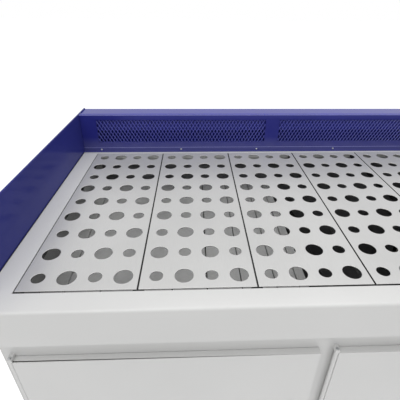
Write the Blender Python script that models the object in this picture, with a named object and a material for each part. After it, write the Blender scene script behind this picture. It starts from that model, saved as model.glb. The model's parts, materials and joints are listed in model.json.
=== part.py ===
"""Downdraft work table with a mesh-fronted rear plenum, side walls and two fan sets in its cabinet.

Metres, +Z up, front towards -Y. The origin is on the floor under the middle of the table.
"""

import math

import bmesh
import bpy
from mathutils import Matrix, Vector

# Driving dimensions
INCH = 0.0254
GAP = 0.0003
CUT_OVER = 0.010
EMBED = 0.001
SHARP_ANGLE = 50
ROUND_SIDES = 10
PIN_SIDES = 8
INLET_SIDES = 12
BEND_SEGMENTS = 3
FOLD_SEGMENTS = 2
SAME_WAY = 0.99
MERGE = 1e-6

PANEL_COUNT = 8
PANEL_PITCH = 12 * INCH
PANEL_DEPTH = 33 * INCH
PANEL_THICK = 0.003
PANEL_SEAM = 0.0025
HOLE_COLUMNS = 4
HOLE_ROWS = 9
HOLE_PITCH_X = 0.073025
HOLE_PITCH_Y = 0.09366
HOLE_LARGE_R = 0.0249
HOLE_SMALL_R = 0.0175
HOLE_LARGE_SIDES = 7
HOLE_SMALL_SIDES = 6

WORK_Z = 36 * INCH
WALL_HEIGHT = 7 * INCH
DEPTH = 1.040
HARDWARE_PROUD = 0.012
SIDE_MARGIN = 0.067
FRONT_MARGIN = 0.060
PANEL_FRONT_GAP = 0.006
PANEL_REAR_GAP = 0.002
SHEET = 0.003
THIN_SHEET = 0.002
HEM = 0.003
HEM_DEPTH = 0.014
APRON_DEPTH = 0.120
SKIRT_DEPTH = 0.060
FRONT_BEND_R = 0.008
FOLD_R = 0.0018
WALL_SETBACK = 0.002
WALL_CORNER_R = 0.010

GRID_BAR = 0.025
GRID_RAIL = 0.020
GRID_SETBACK = 0.006
GRID_END = 0.010
GRID_REACH = 0.020

PLENUM_DEPTH = 0.105
WINDOW_LOW = 0.045
WINDOW_HIGH = 0.151
WINDOW_POST = 0.065
WINDOW_END_POST = 0.073
CENTRE_WINDOW = 0.7404
CAP_LIP = 0.025
STRIP_HEIGHT = 0.019
STRIP_FOOT = 0.016
MESH_THICK = 0.003
MESH_LAP = 0.012
MESH_STRAND = 0.009
MESH_COLUMNS = 5
MESH_ROWS = 2
DEFLECTOR_SETBACK = 0.016
DEFLECTOR_FLANGE = 0.022
DEFLECTOR_RISE = 0.012

CHAMBER_DEPTH = 8 * INCH
BAY_HALF = 16 * INCH
DECK_LIP = 0.019
DECK_STRIPS = 7
DECK_STRIP = 0.117
DECK_STEP = 0.0015
DECK_EDGE = 0.022

BASE_HEIGHT = 0.100
CHANNEL_WIDTH = 0.060
CHANNEL_WEB = 0.005
CHANNEL_OUTER_X = 1.180
CHANNEL_FRONT = 0.060
CHANNEL_REAR = 0.040
RETURN_FLANGE = 0.030
DOOR_DEPTH = 0.020
DOOR_LAP = 0.015
DOOR_RECESS = 0.010
DOOR_LOW = 0.135
DOOR_TOP = 0.715
CENTRE_DOOR_INSET = 0.0264
SIDE_DOOR_INSET = 0.0236
END_POST = 0.0326
HINGE_R = 0.006
HINGE_OFFSET = 0.0055
HINGE_BORE = 0.0034
HINGE_PIN = 0.0026
HINGE_HEAD_R = 0.0046
HINGE_HEAD = 0.0015
LUG_HEIGHT = 0.011
LATCH_INSET = 0.040
LATCH_R = 0.006
LATCH_CLEAR = 0.0008
LATCH_PLATE_R = 0.013
LATCH_PLATE = 0.007
GRIP_WIDTH = 0.010
GRIP_LENGTH = 0.052
SPINDLE_BACK = 0.013
CAM_WIDTH = 0.016
CAM_REACH = 0.022
CAM_TAIL = 0.008
CAM_THICK = 0.004

FLOOR_RIM = 0.016
DRAWER_TOP = 0.220
DRAWER_HALF = 0.355
DRAWER_LENGTH = 0.640
DRAWER_DOOR_GAP = 0.014
DRAWER_CLEAR = 0.005
DRAWER_HEADROOM = 0.012
DRAWER_LAP = 0.006
RUNNER_INSET = 0.040
RUNNER_WIDTH = 0.004
RUNNER_EXTRA = 0.020
PULL_WIDTH = 0.180
PULL_LIP = 0.014
PULL_RISE = 0.004

FILTER_LONG = 0.594
FILTER_TALL = 0.440
FILTER_THICK = 0.095
FILTER_Y = 0.020
FILTER_LOW = 0.245
FILTER_PLEATS = 8
FILTER_EDGE = 0.018
FILTER_FRAME = 0.020
PLEAT_FLAT = 0.004
PLEAT_INSET = 0.008
PLEAT_SKIN = 0.010
SHELF_LIP = 0.005
SHELF_EXTRA = 0.025

FAN_X = 0.740
FAN_Y = 0.020
FAN_Z = 0.400
SCROLL_WIDTH = 0.200
SCROLL_MIN_R = 0.172
SCROLL_MAX_R = 0.268
OUTLET_LOW = 0.060
SCROLL_START = 20
SCROLL_SWEEP = 290
SCROLL_STEPS = 12
WHEEL_R = 0.150
WHEEL_WIDTH = 0.110
WHEEL_BLADES = 8
WHEEL_PLATE = 0.003
WHEEL_BACK_GAP = 0.030
HUB_R = 0.030
HUB_TAPER = 0.006
HUB_LENGTH = 0.030
SHROUD_R = 0.108
SHROUD_WIDTH = 0.005
BLADE_ROOT_R = 0.100
BLADE_TIP_R = 0.146
BLADE_LEAN = 32
INLET_R = 0.105
SHAFT_R = 0.012
SHAFT_CLEAR = 0.006
SHAFT_REACH = 0.040
MOTOR_R = 0.088
MOTOR_LENGTH = 0.240
MOTOR_SETBACK = 0.020
MOTOR_FACE_R = 0.050
MOTOR_BELL = 0.018
MOTOR_BORE = 0.024
COWL_LENGTH = 0.060
COWL_PROUD = 0.004
COWL_TAPER = 0.010
FOOT_HALF = 0.070
FOOT_INSET = 0.040
STAND_HALF = 0.110
STAND_STEP = 0.012
STAND_LAP = 0.020
MOTOR_CENTRE_HEIGHT = 0.112
GRILLE_SLOTS = 6
GRILLE_SIDE = 0.012
GRILLE_END = 0.008
SLOT_BAR = 0.006

BUTTON_X = (0.980, 1.040)
BUTTON_R = 0.011
BUTTON_HOLE_R = 0.0125
BUTTON_PROUD = 0.009
BUTTON_EDGE = 0.0015
BUTTON_BACK = 0.009
BOX_POCKET = 0.016
BOX_SIDE = 0.035
BOX_HALF = 0.032
GAUGE_X = 1.150
GAUGE_R = 0.034
GAUGE_CLEAR = 0.0025
GAUGE_PROUD = 0.008
GAUGE_RIM = 0.003
GAUGE_FLANGE = 0.006
DIAL_DEPTH = 0.0045
CONTROL_DROP = 0.062
NEEDLE_REST = 40
NEEDLE_DROP = 0.016
NEEDLE_LENGTH = 0.036
NEEDLE_TIP = 0.0008
NEEDLE_ROOT = 0.003
NEEDLE_TAIL = 0.0035
NEEDLE_SHOULDER = 0.006
NEEDLE_FRONT = 0.0025
NEEDLE_BACK = 0.0042

# Places worked out from them
BED_HALF = PANEL_COUNT * PANEL_PITCH / 2
INNER_HALF = BED_HALF + SIDE_MARGIN
TOP_HALF = INNER_HALF - GAP
WALL_TOP = WORK_Z + WALL_HEIGHT
FRONT_Y = HARDWARE_PROUD - (DEPTH + HARDWARE_PROUD) / 2
BACK_Y = FRONT_Y + DEPTH
BED_FRONT = FRONT_Y + FRONT_MARGIN
PANEL_FRONT = BED_FRONT + PANEL_FRONT_GAP
PANEL_REAR = PANEL_FRONT + PANEL_DEPTH
BED_REAR = PANEL_REAR + PANEL_REAR_GAP
PANEL_MID = (PANEL_FRONT + PANEL_REAR) / 2
PLENUM_Y = BACK_Y - PLENUM_DEPTH
PLENUM_TOP = WALL_TOP - THIN_SHEET
TOP_REAR = PLENUM_Y + SHEET + 2 * GAP
END_X = TOP_HALF - SHEET - GAP
DECK_Z = WORK_Z - CHAMBER_DEPTH
FLOOR_Z = BASE_HEIGHT + GAP
DOOR_FRONT = FRONT_Y + DOOR_RECESS
FACE_Y = DOOR_FRONT + DOOR_DEPTH + 2 * GAP
FACE_BACK = FACE_Y + SHEET
BACK_IN = BACK_Y - SHEET
DRAWER_LOW = FLOOR_Z + FLOOR_RIM
DRAWER_BACK = FRONT_Y + DRAWER_LENGTH
CONTROL_Z = WORK_Z - CONTROL_DROP
SIDES = {"left": -1, "right": 1}


def finish(name, colour, roughness, metallic=0.0):
    """Make a Principled material from an RGB colour."""
    material = bpy.data.materials.new(name)
    material.use_nodes = True
    shader = material.node_tree.nodes["Principled BSDF"]
    shader.inputs["Base Color"].default_value = (*colour, 1.0)
    shader.inputs["Roughness"].default_value = roughness
    shader.inputs["Metallic"].default_value = metallic
    material.diffuse_color = (*colour, 1.0)
    return material


def place(axis, u, v, w):
    """Turn (u, v) in the plane across an axis, and w along it, into a point."""
    if axis == "X":
        return Vector((w, u, v))
    if axis == "Y":
        return Vector((u, w, v))
    return Vector((u, v, w))


def prism(bm, outline, axis, start, end):
    """Extrude a closed outline along an axis: X takes (y, z) points, Y takes (x, z), Z takes (x, y)."""
    near = [bm.verts.new(place(axis, u, v, start)) for u, v in outline]
    far = [bm.verts.new(place(axis, u, v, end)) for u, v in outline]
    bm.faces.new(near)
    bm.faces.new(list(reversed(far)))
    for i in range(len(outline)):
        j = (i + 1) % len(outline)
        bm.faces.new((near[j], near[i], far[i], far[j]))


def box(bm, low, high):
    """Add a box between two corners."""
    outline = ((low[0], low[1]), (high[0], low[1]), (high[0], high[1]), (low[0], high[1]))
    prism(bm, outline, "Z", low[2], high[2])


def rod(bm, axis, centre, radius, start, end, sides):
    """Add a round bar along an axis, its centre given across that axis."""
    turn = {"X": Matrix.Rotation(math.pi / 2, 4, "Y"), "Y": Matrix.Rotation(-math.pi / 2, 4, "X")}
    matrix = Matrix.Translation(place(axis, *centre, (start + end) / 2)) @ turn.get(axis, Matrix())
    bmesh.ops.create_cone(
        bm,
        cap_ends=True,
        segments=sides,
        radius1=radius,
        radius2=radius,
        depth=end - start,
        matrix=matrix,
    )


def ring(centre, radius, sides):
    """List the corners of a regular polygon that stands on one of its sides' middles."""
    return [
        (
            centre[0] + radius * math.cos(2 * math.pi * (i + 1 / 2) / sides),
            centre[1] + radius * math.sin(2 * math.pi * (i + 1 / 2) / sides),
        )
        for i in range(sides)
    ]


def plate(bm, outline, holes, axis, start, end):
    """Fill a flat outline with holes in it, then pull it through its thickness."""
    edges = []
    for loop in [outline, *holes]:
        verts = [bm.verts.new(place(axis, u, v, start)) for u, v in loop]
        edges += [bm.edges.new((verts[i - 1], verts[i])) for i in range(len(verts))]
    bmesh.ops.triangle_fill(bm, use_beauty=True, edges=edges)
    pulled = bmesh.ops.extrude_face_region(bm, geom=bm.faces[:])
    moved = [item for item in pulled["geom"] if isinstance(item, bmesh.types.BMVert)]
    bmesh.ops.translate(bm, verts=moved, vec=place(axis, 0, 0, end - start))


def turned(bm, profile, axis, centre, steps):
    """Spin a profile of (along, radius) points, from axis to axis or closed, about an axis."""
    origin = place(axis, *centre, 0)
    outward = place(axis, 1, 0, 0)
    along = place(axis, 0, 0, 1)
    verts = [bm.verts.new(origin + along * a + outward * r) for a, r in profile]
    edges = [bm.edges.new((verts[i], verts[i + 1])) for i in range(len(verts) - 1)]
    if profile[0][1] > 0:
        edges.append(bm.edges.new((verts[-1], verts[0])))
    bmesh.ops.spin(
        bm, geom=verts + edges, cent=origin, axis=along, angle=2 * math.pi, steps=steps
    )
    bmesh.ops.remove_doubles(bm, verts=bm.verts[:], dist=MERGE)


def node(name, bm, material, pivot=(0, 0, 0), smooth=False):
    """Turn a bmesh into a named object whose origin is at its pivot."""
    bmesh.ops.recalc_face_normals(bm, faces=bm.faces[:])
    bmesh.ops.translate(bm, verts=bm.verts[:], vec=-Vector(pivot))
    mesh = bpy.data.meshes.new(name)
    bm.to_mesh(mesh)
    bm.free()
    if smooth:
        mesh.shade_smooth()
        mesh.set_sharp_from_angle(angle=math.radians(SHARP_ANGLE))
    if material:
        mesh.materials.append(material)
    obj = bpy.data.objects.new(name, mesh)
    obj.location = pivot
    bpy.context.scene.collection.objects.link(obj)
    return obj


def shape_with(obj, bm, operation):
    """Cut a bmesh out of an object, or join it on, with an exact Boolean and a hidden tool object."""
    tool = node(f"{obj.name}_{operation.lower()}_tool", bm, None)
    tool.hide_render = True
    tool.display_type = "WIRE"
    modifier = obj.modifiers.new(operation.title(), "BOOLEAN")
    modifier.operation = operation
    modifier.solver = "EXACT"
    modifier.object = tool
    modifier.use_self = True


def thicken(obj, thickness):
    """Give an open shell its sheet thickness, inwards."""
    modifier = obj.modifiers.new("Sheet", "SOLIDIFY")
    modifier.thickness = thickness
    modifier.offset = -1
    modifier.use_even_offset = True


def open_box(low, high, missing):
    """Make a box shell without the faces whose normals are listed."""
    bm = bmesh.new()
    box(bm, low, high)
    bmesh.ops.recalc_face_normals(bm, faces=bm.faces[:])
    gone = [f for f in bm.faces if any(f.normal.dot(Vector(n)) > SAME_WAY for n in missing)]
    bmesh.ops.delete(bm, geom=gone, context="FACES")
    return bm


def edges_near(bm, test):
    """List the edges both of whose ends pass a test."""
    return [e for e in bm.edges if all(test(v.co) for v in e.verts)]


def round_edges(bm, edges, radius, segments):
    """Round edges of a bmesh to a radius."""
    bmesh.ops.bevel(bm, geom=edges, offset=radius, segments=segments, affect="EDGES", profile=0.5)


def mirror_x(points, side):
    """Place points drawn for the right side on the side asked for."""
    return [(side * x, y) for x, y in points]


# Work panels

def panel_holes(mid_x):
    """List the hole outlines of one panel, large and small in turn along rows and columns."""
    holes = []
    for row in range(HOLE_ROWS):
        for column in range(HOLE_COLUMNS):
            x = mid_x + (column - (HOLE_COLUMNS - 1) / 2) * HOLE_PITCH_X
            y = PANEL_MID + ((HOLE_ROWS - 1) / 2 - row) * HOLE_PITCH_Y
            if (row + column) % 2:
                holes.append(ring((x, y), HOLE_LARGE_R, HOLE_LARGE_SIDES))
            else:
                holes.append(ring((x, y), HOLE_SMALL_R, HOLE_SMALL_SIDES))
    return holes


def make_panels(steel):
    """Lay the perforated panels side by side; each lifts straight up."""
    for i in range(PANEL_COUNT):
        mid_x = (i + 0.5) * PANEL_PITCH - BED_HALF
        half = (PANEL_PITCH - PANEL_SEAM) / 2
        outline = (
            (mid_x - half, PANEL_FRONT),
            (mid_x + half, PANEL_FRONT),
            (mid_x + half, PANEL_REAR),
            (mid_x - half, PANEL_REAR),
        )
        bm = bmesh.new()
        plate(bm, outline, panel_holes(mid_x), "Z", WORK_Z - PANEL_THICK, WORK_Z)
        node(f"work_panel_{i + 1}", bm, steel, (mid_x, PANEL_MID, WORK_Z))


# Top frame and the bars under the panels

def make_top_frame(white):
    """Fold the top sheet: margins round the bed, a rounded front bend, an apron and three skirts."""
    low = (-TOP_HALF, FRONT_Y, WORK_Z - APRON_DEPTH)
    bm = open_box(low, (TOP_HALF, TOP_REAR, WORK_Z), [(0, 0, -1)])
    front = edges_near(bm, lambda p: p.y < FRONT_Y + GAP and p.z > WORK_Z - GAP)
    round_edges(bm, front, FRONT_BEND_R, BEND_SEGMENTS)
    top = node("top_frame", bm, white)
    thicken(top, SHEET)
    cut = bmesh.new()
    low = (-BED_HALF - EMBED, BED_FRONT, WORK_Z - CUT_OVER)
    box(cut, low, (BED_HALF + EMBED, BED_REAR, WORK_Z + CUT_OVER))
    low = (-TOP_HALF - CUT_OVER, FRONT_Y + CUT_OVER, WORK_Z - APRON_DEPTH - CUT_OVER)
    box(cut, low, (TOP_HALF + CUT_OVER, TOP_REAR + CUT_OVER, WORK_Z - SKIRT_DEPTH))
    for side in SIDES.values():
        x = sorted((side * (END_X - SHEET - GAP), side * (END_X + GAP / 2)))
        low = (x[0], TOP_REAR - CUT_OVER, WORK_Z - APRON_DEPTH)
        box(cut, low, (x[1], TOP_REAR + CUT_OVER, WORK_Z - SHEET - GAP / 2))
    holes = [(x, BUTTON_HOLE_R) for x in BUTTON_X] + [(GAUGE_X, GAUGE_R + GAUGE_CLEAR)]
    for x, radius in holes:
        rod(cut, "Y", (x, CONTROL_Z), radius, FRONT_Y - SHEET, FRONT_Y + 2 * SHEET, ROUND_SIDES)
    shape_with(top, cut, "DIFFERENCE")


def make_support_grid(black):
    """Weld one bar under each panel seam to two rails, in two sections that meet under the middle seam."""
    top = WORK_Z - PANEL_THICK - GAP
    front = BED_FRONT - GRID_SETBACK
    rear = BED_REAR + GRID_SETBACK
    reach = BED_HALF + GRID_REACH
    count = PANEL_COUNT // 2
    for name, side in SIDES.items():
        near, far = sorted((side * GAP / 2, side * reach))
        outline = (
            (near, front - GRID_RAIL),
            (far, front - GRID_RAIL),
            (far, rear + GRID_RAIL),
            (near, rear + GRID_RAIL),
        )
        bays = []
        for i in range(count):
            inner = i * PANEL_PITCH + GRID_BAR / 2
            outer = (i + 1) * PANEL_PITCH - (GRID_BAR / 2 if i < count - 1 else GRID_END)
            left, right = sorted((side * inner, side * outer))
            bays.append(((left, front), (right, front), (right, rear), (left, rear)))
        bm = bmesh.new()
        plate(bm, outline, bays, "Z", top - GRID_BAR, top)
        node(f"support_grid_{name}", bm, black)


# Walls and rear plenum

def make_side_walls(blue):
    """Stand a hemmed sheet at each end, its top front corner rounded."""
    for name, side in SIDES.items():
        x, low = INNER_HALF, WORK_Z - SKIRT_DEPTH
        section = (
            (x, low),
            (x + SHEET, low),
            (x + SHEET, WALL_TOP - HEM_DEPTH),
            (x + SHEET + HEM, WALL_TOP - HEM_DEPTH),
            (x + SHEET + HEM, WALL_TOP),
            (x, WALL_TOP),
        )
        bm = bmesh.new()
        prism(bm, mirror_x(section, side), "Y", FRONT_Y + WALL_SETBACK, BACK_Y)
        front = FRONT_Y + WALL_SETBACK + GAP
        corner = edges_near(bm, lambda p: p.y < front and p.z > WALL_TOP - GAP)
        round_edges(bm, corner, WALL_CORNER_R, BEND_SEGMENTS)
        node(f"side_wall_{name}", bm, blue)


def window_spans():
    """List the left and right edges of the three mesh windows."""
    centre = CENTRE_WINDOW / 2
    inner = centre + WINDOW_POST
    outer = INNER_HALF - WINDOW_END_POST
    return {"left": (-outer, -inner), "centre": (-centre, centre), "right": (inner, outer)}


def make_plenum_face(blue):
    """Fold the face sheet of the plenum: windows, and a lip over the cap."""
    bm = bmesh.new()
    low = WORK_Z + GAP
    half = INNER_HALF - GAP
    section = (
        (PLENUM_Y, low),
        (PLENUM_Y + THIN_SHEET, low),
        (PLENUM_Y + THIN_SHEET, PLENUM_TOP - THIN_SHEET),
        (PLENUM_Y + CAP_LIP, PLENUM_TOP - THIN_SHEET),
        (PLENUM_Y + CAP_LIP, PLENUM_TOP),
        (PLENUM_Y, PLENUM_TOP),
    )
    prism(bm, section, "X", -half, half)
    fold = edges_near(bm, lambda p: p.y < PLENUM_Y + GAP and p.z > PLENUM_TOP - GAP)
    round_edges(bm, fold, FOLD_R, FOLD_SEGMENTS)
    face = node("plenum_face", bm, blue)
    cut = bmesh.new()
    for left, right in window_spans().values():
        low = (left, PLENUM_Y - CUT_OVER, WORK_Z + WINDOW_LOW)
        box(cut, low, (right, PLENUM_Y + CUT_OVER, WORK_Z + WINDOW_HIGH))
    shape_with(face, cut, "DIFFERENCE")


def make_plenum_cover(blue):
    """Fold the cap and back of the plenum from one sheet."""
    top = PLENUM_TOP - THIN_SHEET - GAP
    front = PLENUM_Y + THIN_SHEET + MESH_THICK + 3 * GAP
    section = (
        (front, top),
        (front, top - THIN_SHEET),
        (BACK_Y - THIN_SHEET, top - THIN_SHEET),
        (BACK_Y - THIN_SHEET, WORK_Z + GAP),
        (BACK_Y, WORK_Z + GAP),
        (BACK_Y, top),
    )
    bm = bmesh.new()
    prism(bm, section, "X", -INNER_HALF + GAP, INNER_HALF - GAP)
    node("plenum_cover", bm, blue)


def make_mesh_screens(blue):
    """Slit and stretch a sheet for each window: staggered diamonds, drawn wider than the real 16 mm."""
    low = WORK_Z + WINDOW_LOW - MESH_LAP
    high = WORK_Z + WINDOW_HIGH + MESH_LAP
    near = PLENUM_Y + THIN_SHEET + GAP
    for name, (left, right) in window_spans().items():
        pitch_x = (right - left) / MESH_COLUMNS
        pitch_z = (WINDOW_HIGH - WINDOW_LOW) / MESH_ROWS
        wide = pitch_x / 2 - MESH_STRAND / 2
        tall = pitch_z / 2 - MESH_STRAND / 2
        diamonds = []
        for row in range(2 * MESH_ROWS - 1):
            shift = row % 2
            for column in range(MESH_COLUMNS - shift):
                x = left + (column + (1 + shift) / 2) * pitch_x
                z = WORK_Z + WINDOW_LOW + (row + 1) / 2 * pitch_z
                diamonds.append(((x - wide, z), (x, z - tall), (x + wide, z), (x, z + tall)))
        outline = (
            (left - MESH_LAP, low),
            (right + MESH_LAP, low),
            (right + MESH_LAP, high),
            (left - MESH_LAP, high),
        )
        bm = bmesh.new()
        plate(bm, outline, diamonds, "Y", near, near + MESH_THICK)
        node(f"mesh_screen_{name}", bm, blue)


def make_plenum_trim(blue):
    """Run an angle strip along the foot of the face, and hang a deflector behind the mesh."""
    bm = bmesh.new()
    low = WORK_Z + GAP
    face = PLENUM_Y - GAP
    section = (
        (face, low),
        (face, WORK_Z + STRIP_HEIGHT),
        (face - THIN_SHEET, WORK_Z + STRIP_HEIGHT),
        (face - THIN_SHEET, low + THIN_SHEET),
        (face - STRIP_FOOT, low + THIN_SHEET),
        (face - STRIP_FOOT, low),
    )
    prism(bm, section, "X", -INNER_HALF + GAP, INNER_HALF - GAP)
    node("plenum_foot_strip", bm, blue)
    top = PLENUM_TOP - 2 * THIN_SHEET - 2 * GAP
    near = PLENUM_Y + DEFLECTOR_SETBACK
    far = near + DEFLECTOR_FLANGE
    bend = WORK_Z + (WINDOW_LOW + WINDOW_HIGH) / 2
    section = (
        (near, top),
        (near, bend),
        (far, bend - DEFLECTOR_RISE),
        (far, bend - DEFLECTOR_RISE + THIN_SHEET),
        (near + THIN_SHEET, bend + EMBED),
        (near + THIN_SHEET, top - THIN_SHEET),
        (far, top - THIN_SHEET),
        (far, top),
    )
    bm = bmesh.new()
    prism(bm, section, "X", -INNER_HALF + 2 * GAP, INNER_HALF - 2 * GAP)
    node("plenum_deflector", bm, blue)


# Air chamber under the panels

def make_decks(galvanised):
    """Lap seven strips into a deck on each side of the open bay, with a lip down at the bay."""
    for name, side in SIDES.items():
        outer = END_X - SHEET - GAP
        inner = BAY_HALF - DECK_LIP
        seams = [BED_HALF - DECK_EDGE - i * DECK_STRIP for i in range(DECK_STRIPS)]
        points = [(outer, DECK_Z)]
        for x in seams:
            points.append((x, DECK_Z - DECK_STEP))
            points.append((x, DECK_Z))
        points += [
            (inner, DECK_Z - DECK_STEP),
            (inner, DECK_Z - DECK_LIP),
            (inner + THIN_SHEET, DECK_Z - DECK_LIP),
            (inner + THIN_SHEET, DECK_Z - DECK_STEP - THIN_SHEET),
            (outer, DECK_Z - DECK_STEP - THIN_SHEET),
        ]
        bm = bmesh.new()
        prism(bm, mirror_x(points, side), "Y", FACE_BACK + GAP, BACK_IN - SHEET - 2 * GAP)
        node(f"chamber_deck_{name}", bm, galvanised)


# Cabinet

def make_cabinet_shell(white):
    """Build the ends, back, floor pan and base channels of the cabinet."""
    top = WORK_Z - SHEET - GAP
    for name, side in SIDES.items():
        back = BACK_IN - GAP
        section = (
            (END_X, FACE_Y),
            (END_X, back),
            (END_X - RETURN_FLANGE, back),
            (END_X - RETURN_FLANGE, back - SHEET),
            (END_X - SHEET, back - SHEET),
            (END_X - SHEET, FACE_Y),
        )
        bm = bmesh.new()
        prism(bm, mirror_x(section, side), "Z", FLOOR_Z, top)
        node(f"cabinet_end_{name}", bm, white)
    outlets = []
    for side in SIDES.values():
        x, half = side * FAN_X, SCROLL_WIDTH / 2 - SHEET
        low, high = FAN_Z + OUTLET_LOW + SHEET, FAN_Z + SCROLL_MAX_R - SHEET
        outlets.append(((x - half, low), (x + half, low), (x + half, high), (x - half, high)))
    bm = bmesh.new()
    outline = ((-END_X, FLOOR_Z), (END_X, FLOOR_Z), (END_X, WORK_Z), (-END_X, WORK_Z))
    plate(bm, outline, outlets, "Y", BACK_IN, BACK_Y)
    node("cabinet_back", bm, white)
    inner = END_X - SHEET - GAP
    low = (-inner, FACE_BACK + GAP, FLOOR_Z)
    rim = FLOOR_Z + FLOOR_RIM
    bm = open_box(low, (inner, BACK_IN - SHEET - 2 * GAP, rim), [(0, 0, 1)])
    floor = node("cabinet_floor", bm, white)
    thicken(floor, SHEET)
    runners = bmesh.new()
    for side in SIDES.values():
        x = side * (DRAWER_HALF - RUNNER_INSET)
        low = (x - RUNNER_WIDTH / 2, FACE_BACK + EMBED, FLOOR_Z + EMBED)
        box(runners, low, (x + RUNNER_WIDTH / 2, DRAWER_BACK + RUNNER_EXTRA, rim))
    shape_with(floor, runners, "UNION")


def make_base_channels(black):
    """Set four steel channels front to back on the floor, with room for forks between them."""
    web = CHANNEL_WEB
    for i, x in enumerate((-CHANNEL_OUTER_X, -BAY_HALF, BAY_HALF, CHANNEL_OUTER_X)):
        near = x - CHANNEL_WIDTH / 2
        far = x + CHANNEL_WIDTH / 2
        section = (
            (near, 0),
            (far, 0),
            (far, web),
            (near + web, web),
            (near + web, BASE_HEIGHT - web),
            (far, BASE_HEIGHT - web),
            (far, BASE_HEIGHT),
            (near, BASE_HEIGHT),
        )
        bm = bmesh.new()
        prism(bm, section, "Y", FRONT_Y + CHANNEL_FRONT, BACK_Y - CHANNEL_REAR)
        node(f"base_channel_{i + 1}", bm, black)


def door_spans():
    """List each door's edges, low edge, hinge side and latch side."""
    middle = BAY_HALF - CENTRE_DOOR_INSET
    outer = END_X - END_POST
    inner = BAY_HALF + SIDE_DOOR_INSET
    return {
        "left": (-outer, -inner, DOOR_LOW, -1),
        "centre": (-middle, middle, DRAWER_TOP + DRAWER_DOOR_GAP, -1),
        "right": (inner, outer, DOOR_LOW, 1),
    }


def hinge_place(door):
    """Give the hinge axis of a door in plan."""
    left, right, _, side = door
    edge = left if side < 0 else right
    return (edge + side * HINGE_OFFSET, DOOR_FRONT + HINGE_R)


def make_cabinet_front(white):
    """Cut the face frame for the doors and the drawer, and weld on the hinge lugs."""
    openings = []
    for left, right, low, _ in door_spans().values():
        a, b = left + DOOR_LAP, right - DOOR_LAP
        c, d = low + DOOR_LAP, DOOR_TOP - DOOR_LAP
        openings.append(((a, c), (b, c), (b, d), (a, d)))
    half, high = DRAWER_HALF, DRAWER_TOP - DRAWER_HEADROOM + SHEET
    openings.append(((-half, DRAWER_LOW), (half, DRAWER_LOW), (half, high), (-half, high)))
    width = END_X - SHEET - GAP
    outline = (
        (-width, FLOOR_Z),
        (width, FLOOR_Z),
        (width, WORK_Z - SHEET - GAP),
        (-width, WORK_Z - SHEET - GAP),
    )
    bm = bmesh.new()
    plate(bm, outline, openings, "Y", FACE_Y, FACE_BACK)
    front = node("cabinet_front", bm, white)
    lugs = bmesh.new()
    bores = bmesh.new()
    for door in door_spans().values():
        x, y = hinge_place(door)
        for low in (door[2] - LUG_HEIGHT - 2 * GAP, DOOR_TOP + 2 * GAP):
            high = low + LUG_HEIGHT
            box(lugs, (x - HINGE_R, y - HINGE_R, low), (x + HINGE_R, FACE_BACK - EMBED, high))
            rod(bores, "Z", (x, y), HINGE_BORE, low - EMBED, high + EMBED, PIN_SIDES)
    shape_with(front, lugs, "UNION")
    shape_with(front, bores, "DIFFERENCE")


def make_doors(white, steel, black):
    """Fold each door with a rolled edge that its hinge rod runs through, and fit its latch."""
    for name, door in door_spans().items():
        left, right, low, side = door
        x, y = hinge_place(door)
        bm = open_box((left, DOOR_FRONT, low), (right, DOOR_FRONT + DOOR_DEPTH, DOOR_TOP), [(0, 1, 0)])
        leaf = node(f"door_{name}", bm, white, (x, y, low))
        thicken(leaf, THIN_SHEET)
        roll = bmesh.new()
        rim = ring((x, y), HINGE_R, PIN_SIDES)
        bore = ring((x, y), HINGE_BORE, PIN_SIDES)
        plate(roll, rim, [bore], "Z", low, DOOR_TOP)
        shape_with(leaf, roll, "UNION")
        bm = bmesh.new()
        head = DOOR_TOP + LUG_HEIGHT + 3 * GAP
        profile = (
            (low - LUG_HEIGHT, 0),
            (low - LUG_HEIGHT, HINGE_PIN),
            (head, HINGE_PIN),
            (head, HINGE_HEAD_R),
            (head + HINGE_HEAD, HINGE_HEAD_R),
            (head + HINGE_HEAD, 0),
        )
        turned(bm, profile, "Z", (x, y), PIN_SIDES)
        node(f"hinge_rod_{name}", bm, steel, smooth=True)
        free = right if side < 0 else left
        latch = (free + side * LATCH_INSET, DOOR_FRONT, (low + DOOR_TOP) / 2)
        hole = bmesh.new()
        near, far = DOOR_FRONT - THIN_SHEET, DOOR_FRONT + 2 * THIN_SHEET
        rod(hole, "Y", (latch[0], latch[2]), LATCH_R + LATCH_CLEAR, near, far, PIN_SIDES)
        shape_with(leaf, hole, "DIFFERENCE")
        make_latch(name, latch, black)


def make_latch(name, at, black):
    """Fit a quarter-turn latch: a grip in front, a spindle through the door and a cam behind it."""
    x, y, z = at
    bm = bmesh.new()
    rod(bm, "Y", (x, z), LATCH_PLATE_R, y - LATCH_PLATE, y - GAP, PIN_SIDES)
    grip = node(f"latch_{name}", bm, black, at)
    extra = bmesh.new()
    low = (x - GRIP_WIDTH / 2, FRONT_Y - HARDWARE_PROUD, z - GRIP_LENGTH / 2)
    box(extra, low, (x + GRIP_WIDTH / 2, y - LATCH_PLATE + EMBED, z + GRIP_LENGTH / 2))
    rod(extra, "Y", (x, z), LATCH_R, y - 2 * EMBED, y + SPINDLE_BACK, PIN_SIDES)
    back = y + SPINDLE_BACK + EMBED
    low = (x - CAM_WIDTH / 2, back - CAM_THICK, z - CAM_REACH)
    box(extra, low, (x + CAM_WIDTH / 2, back, z + CAM_TAIL))
    shape_with(grip, extra, "UNION")


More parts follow.
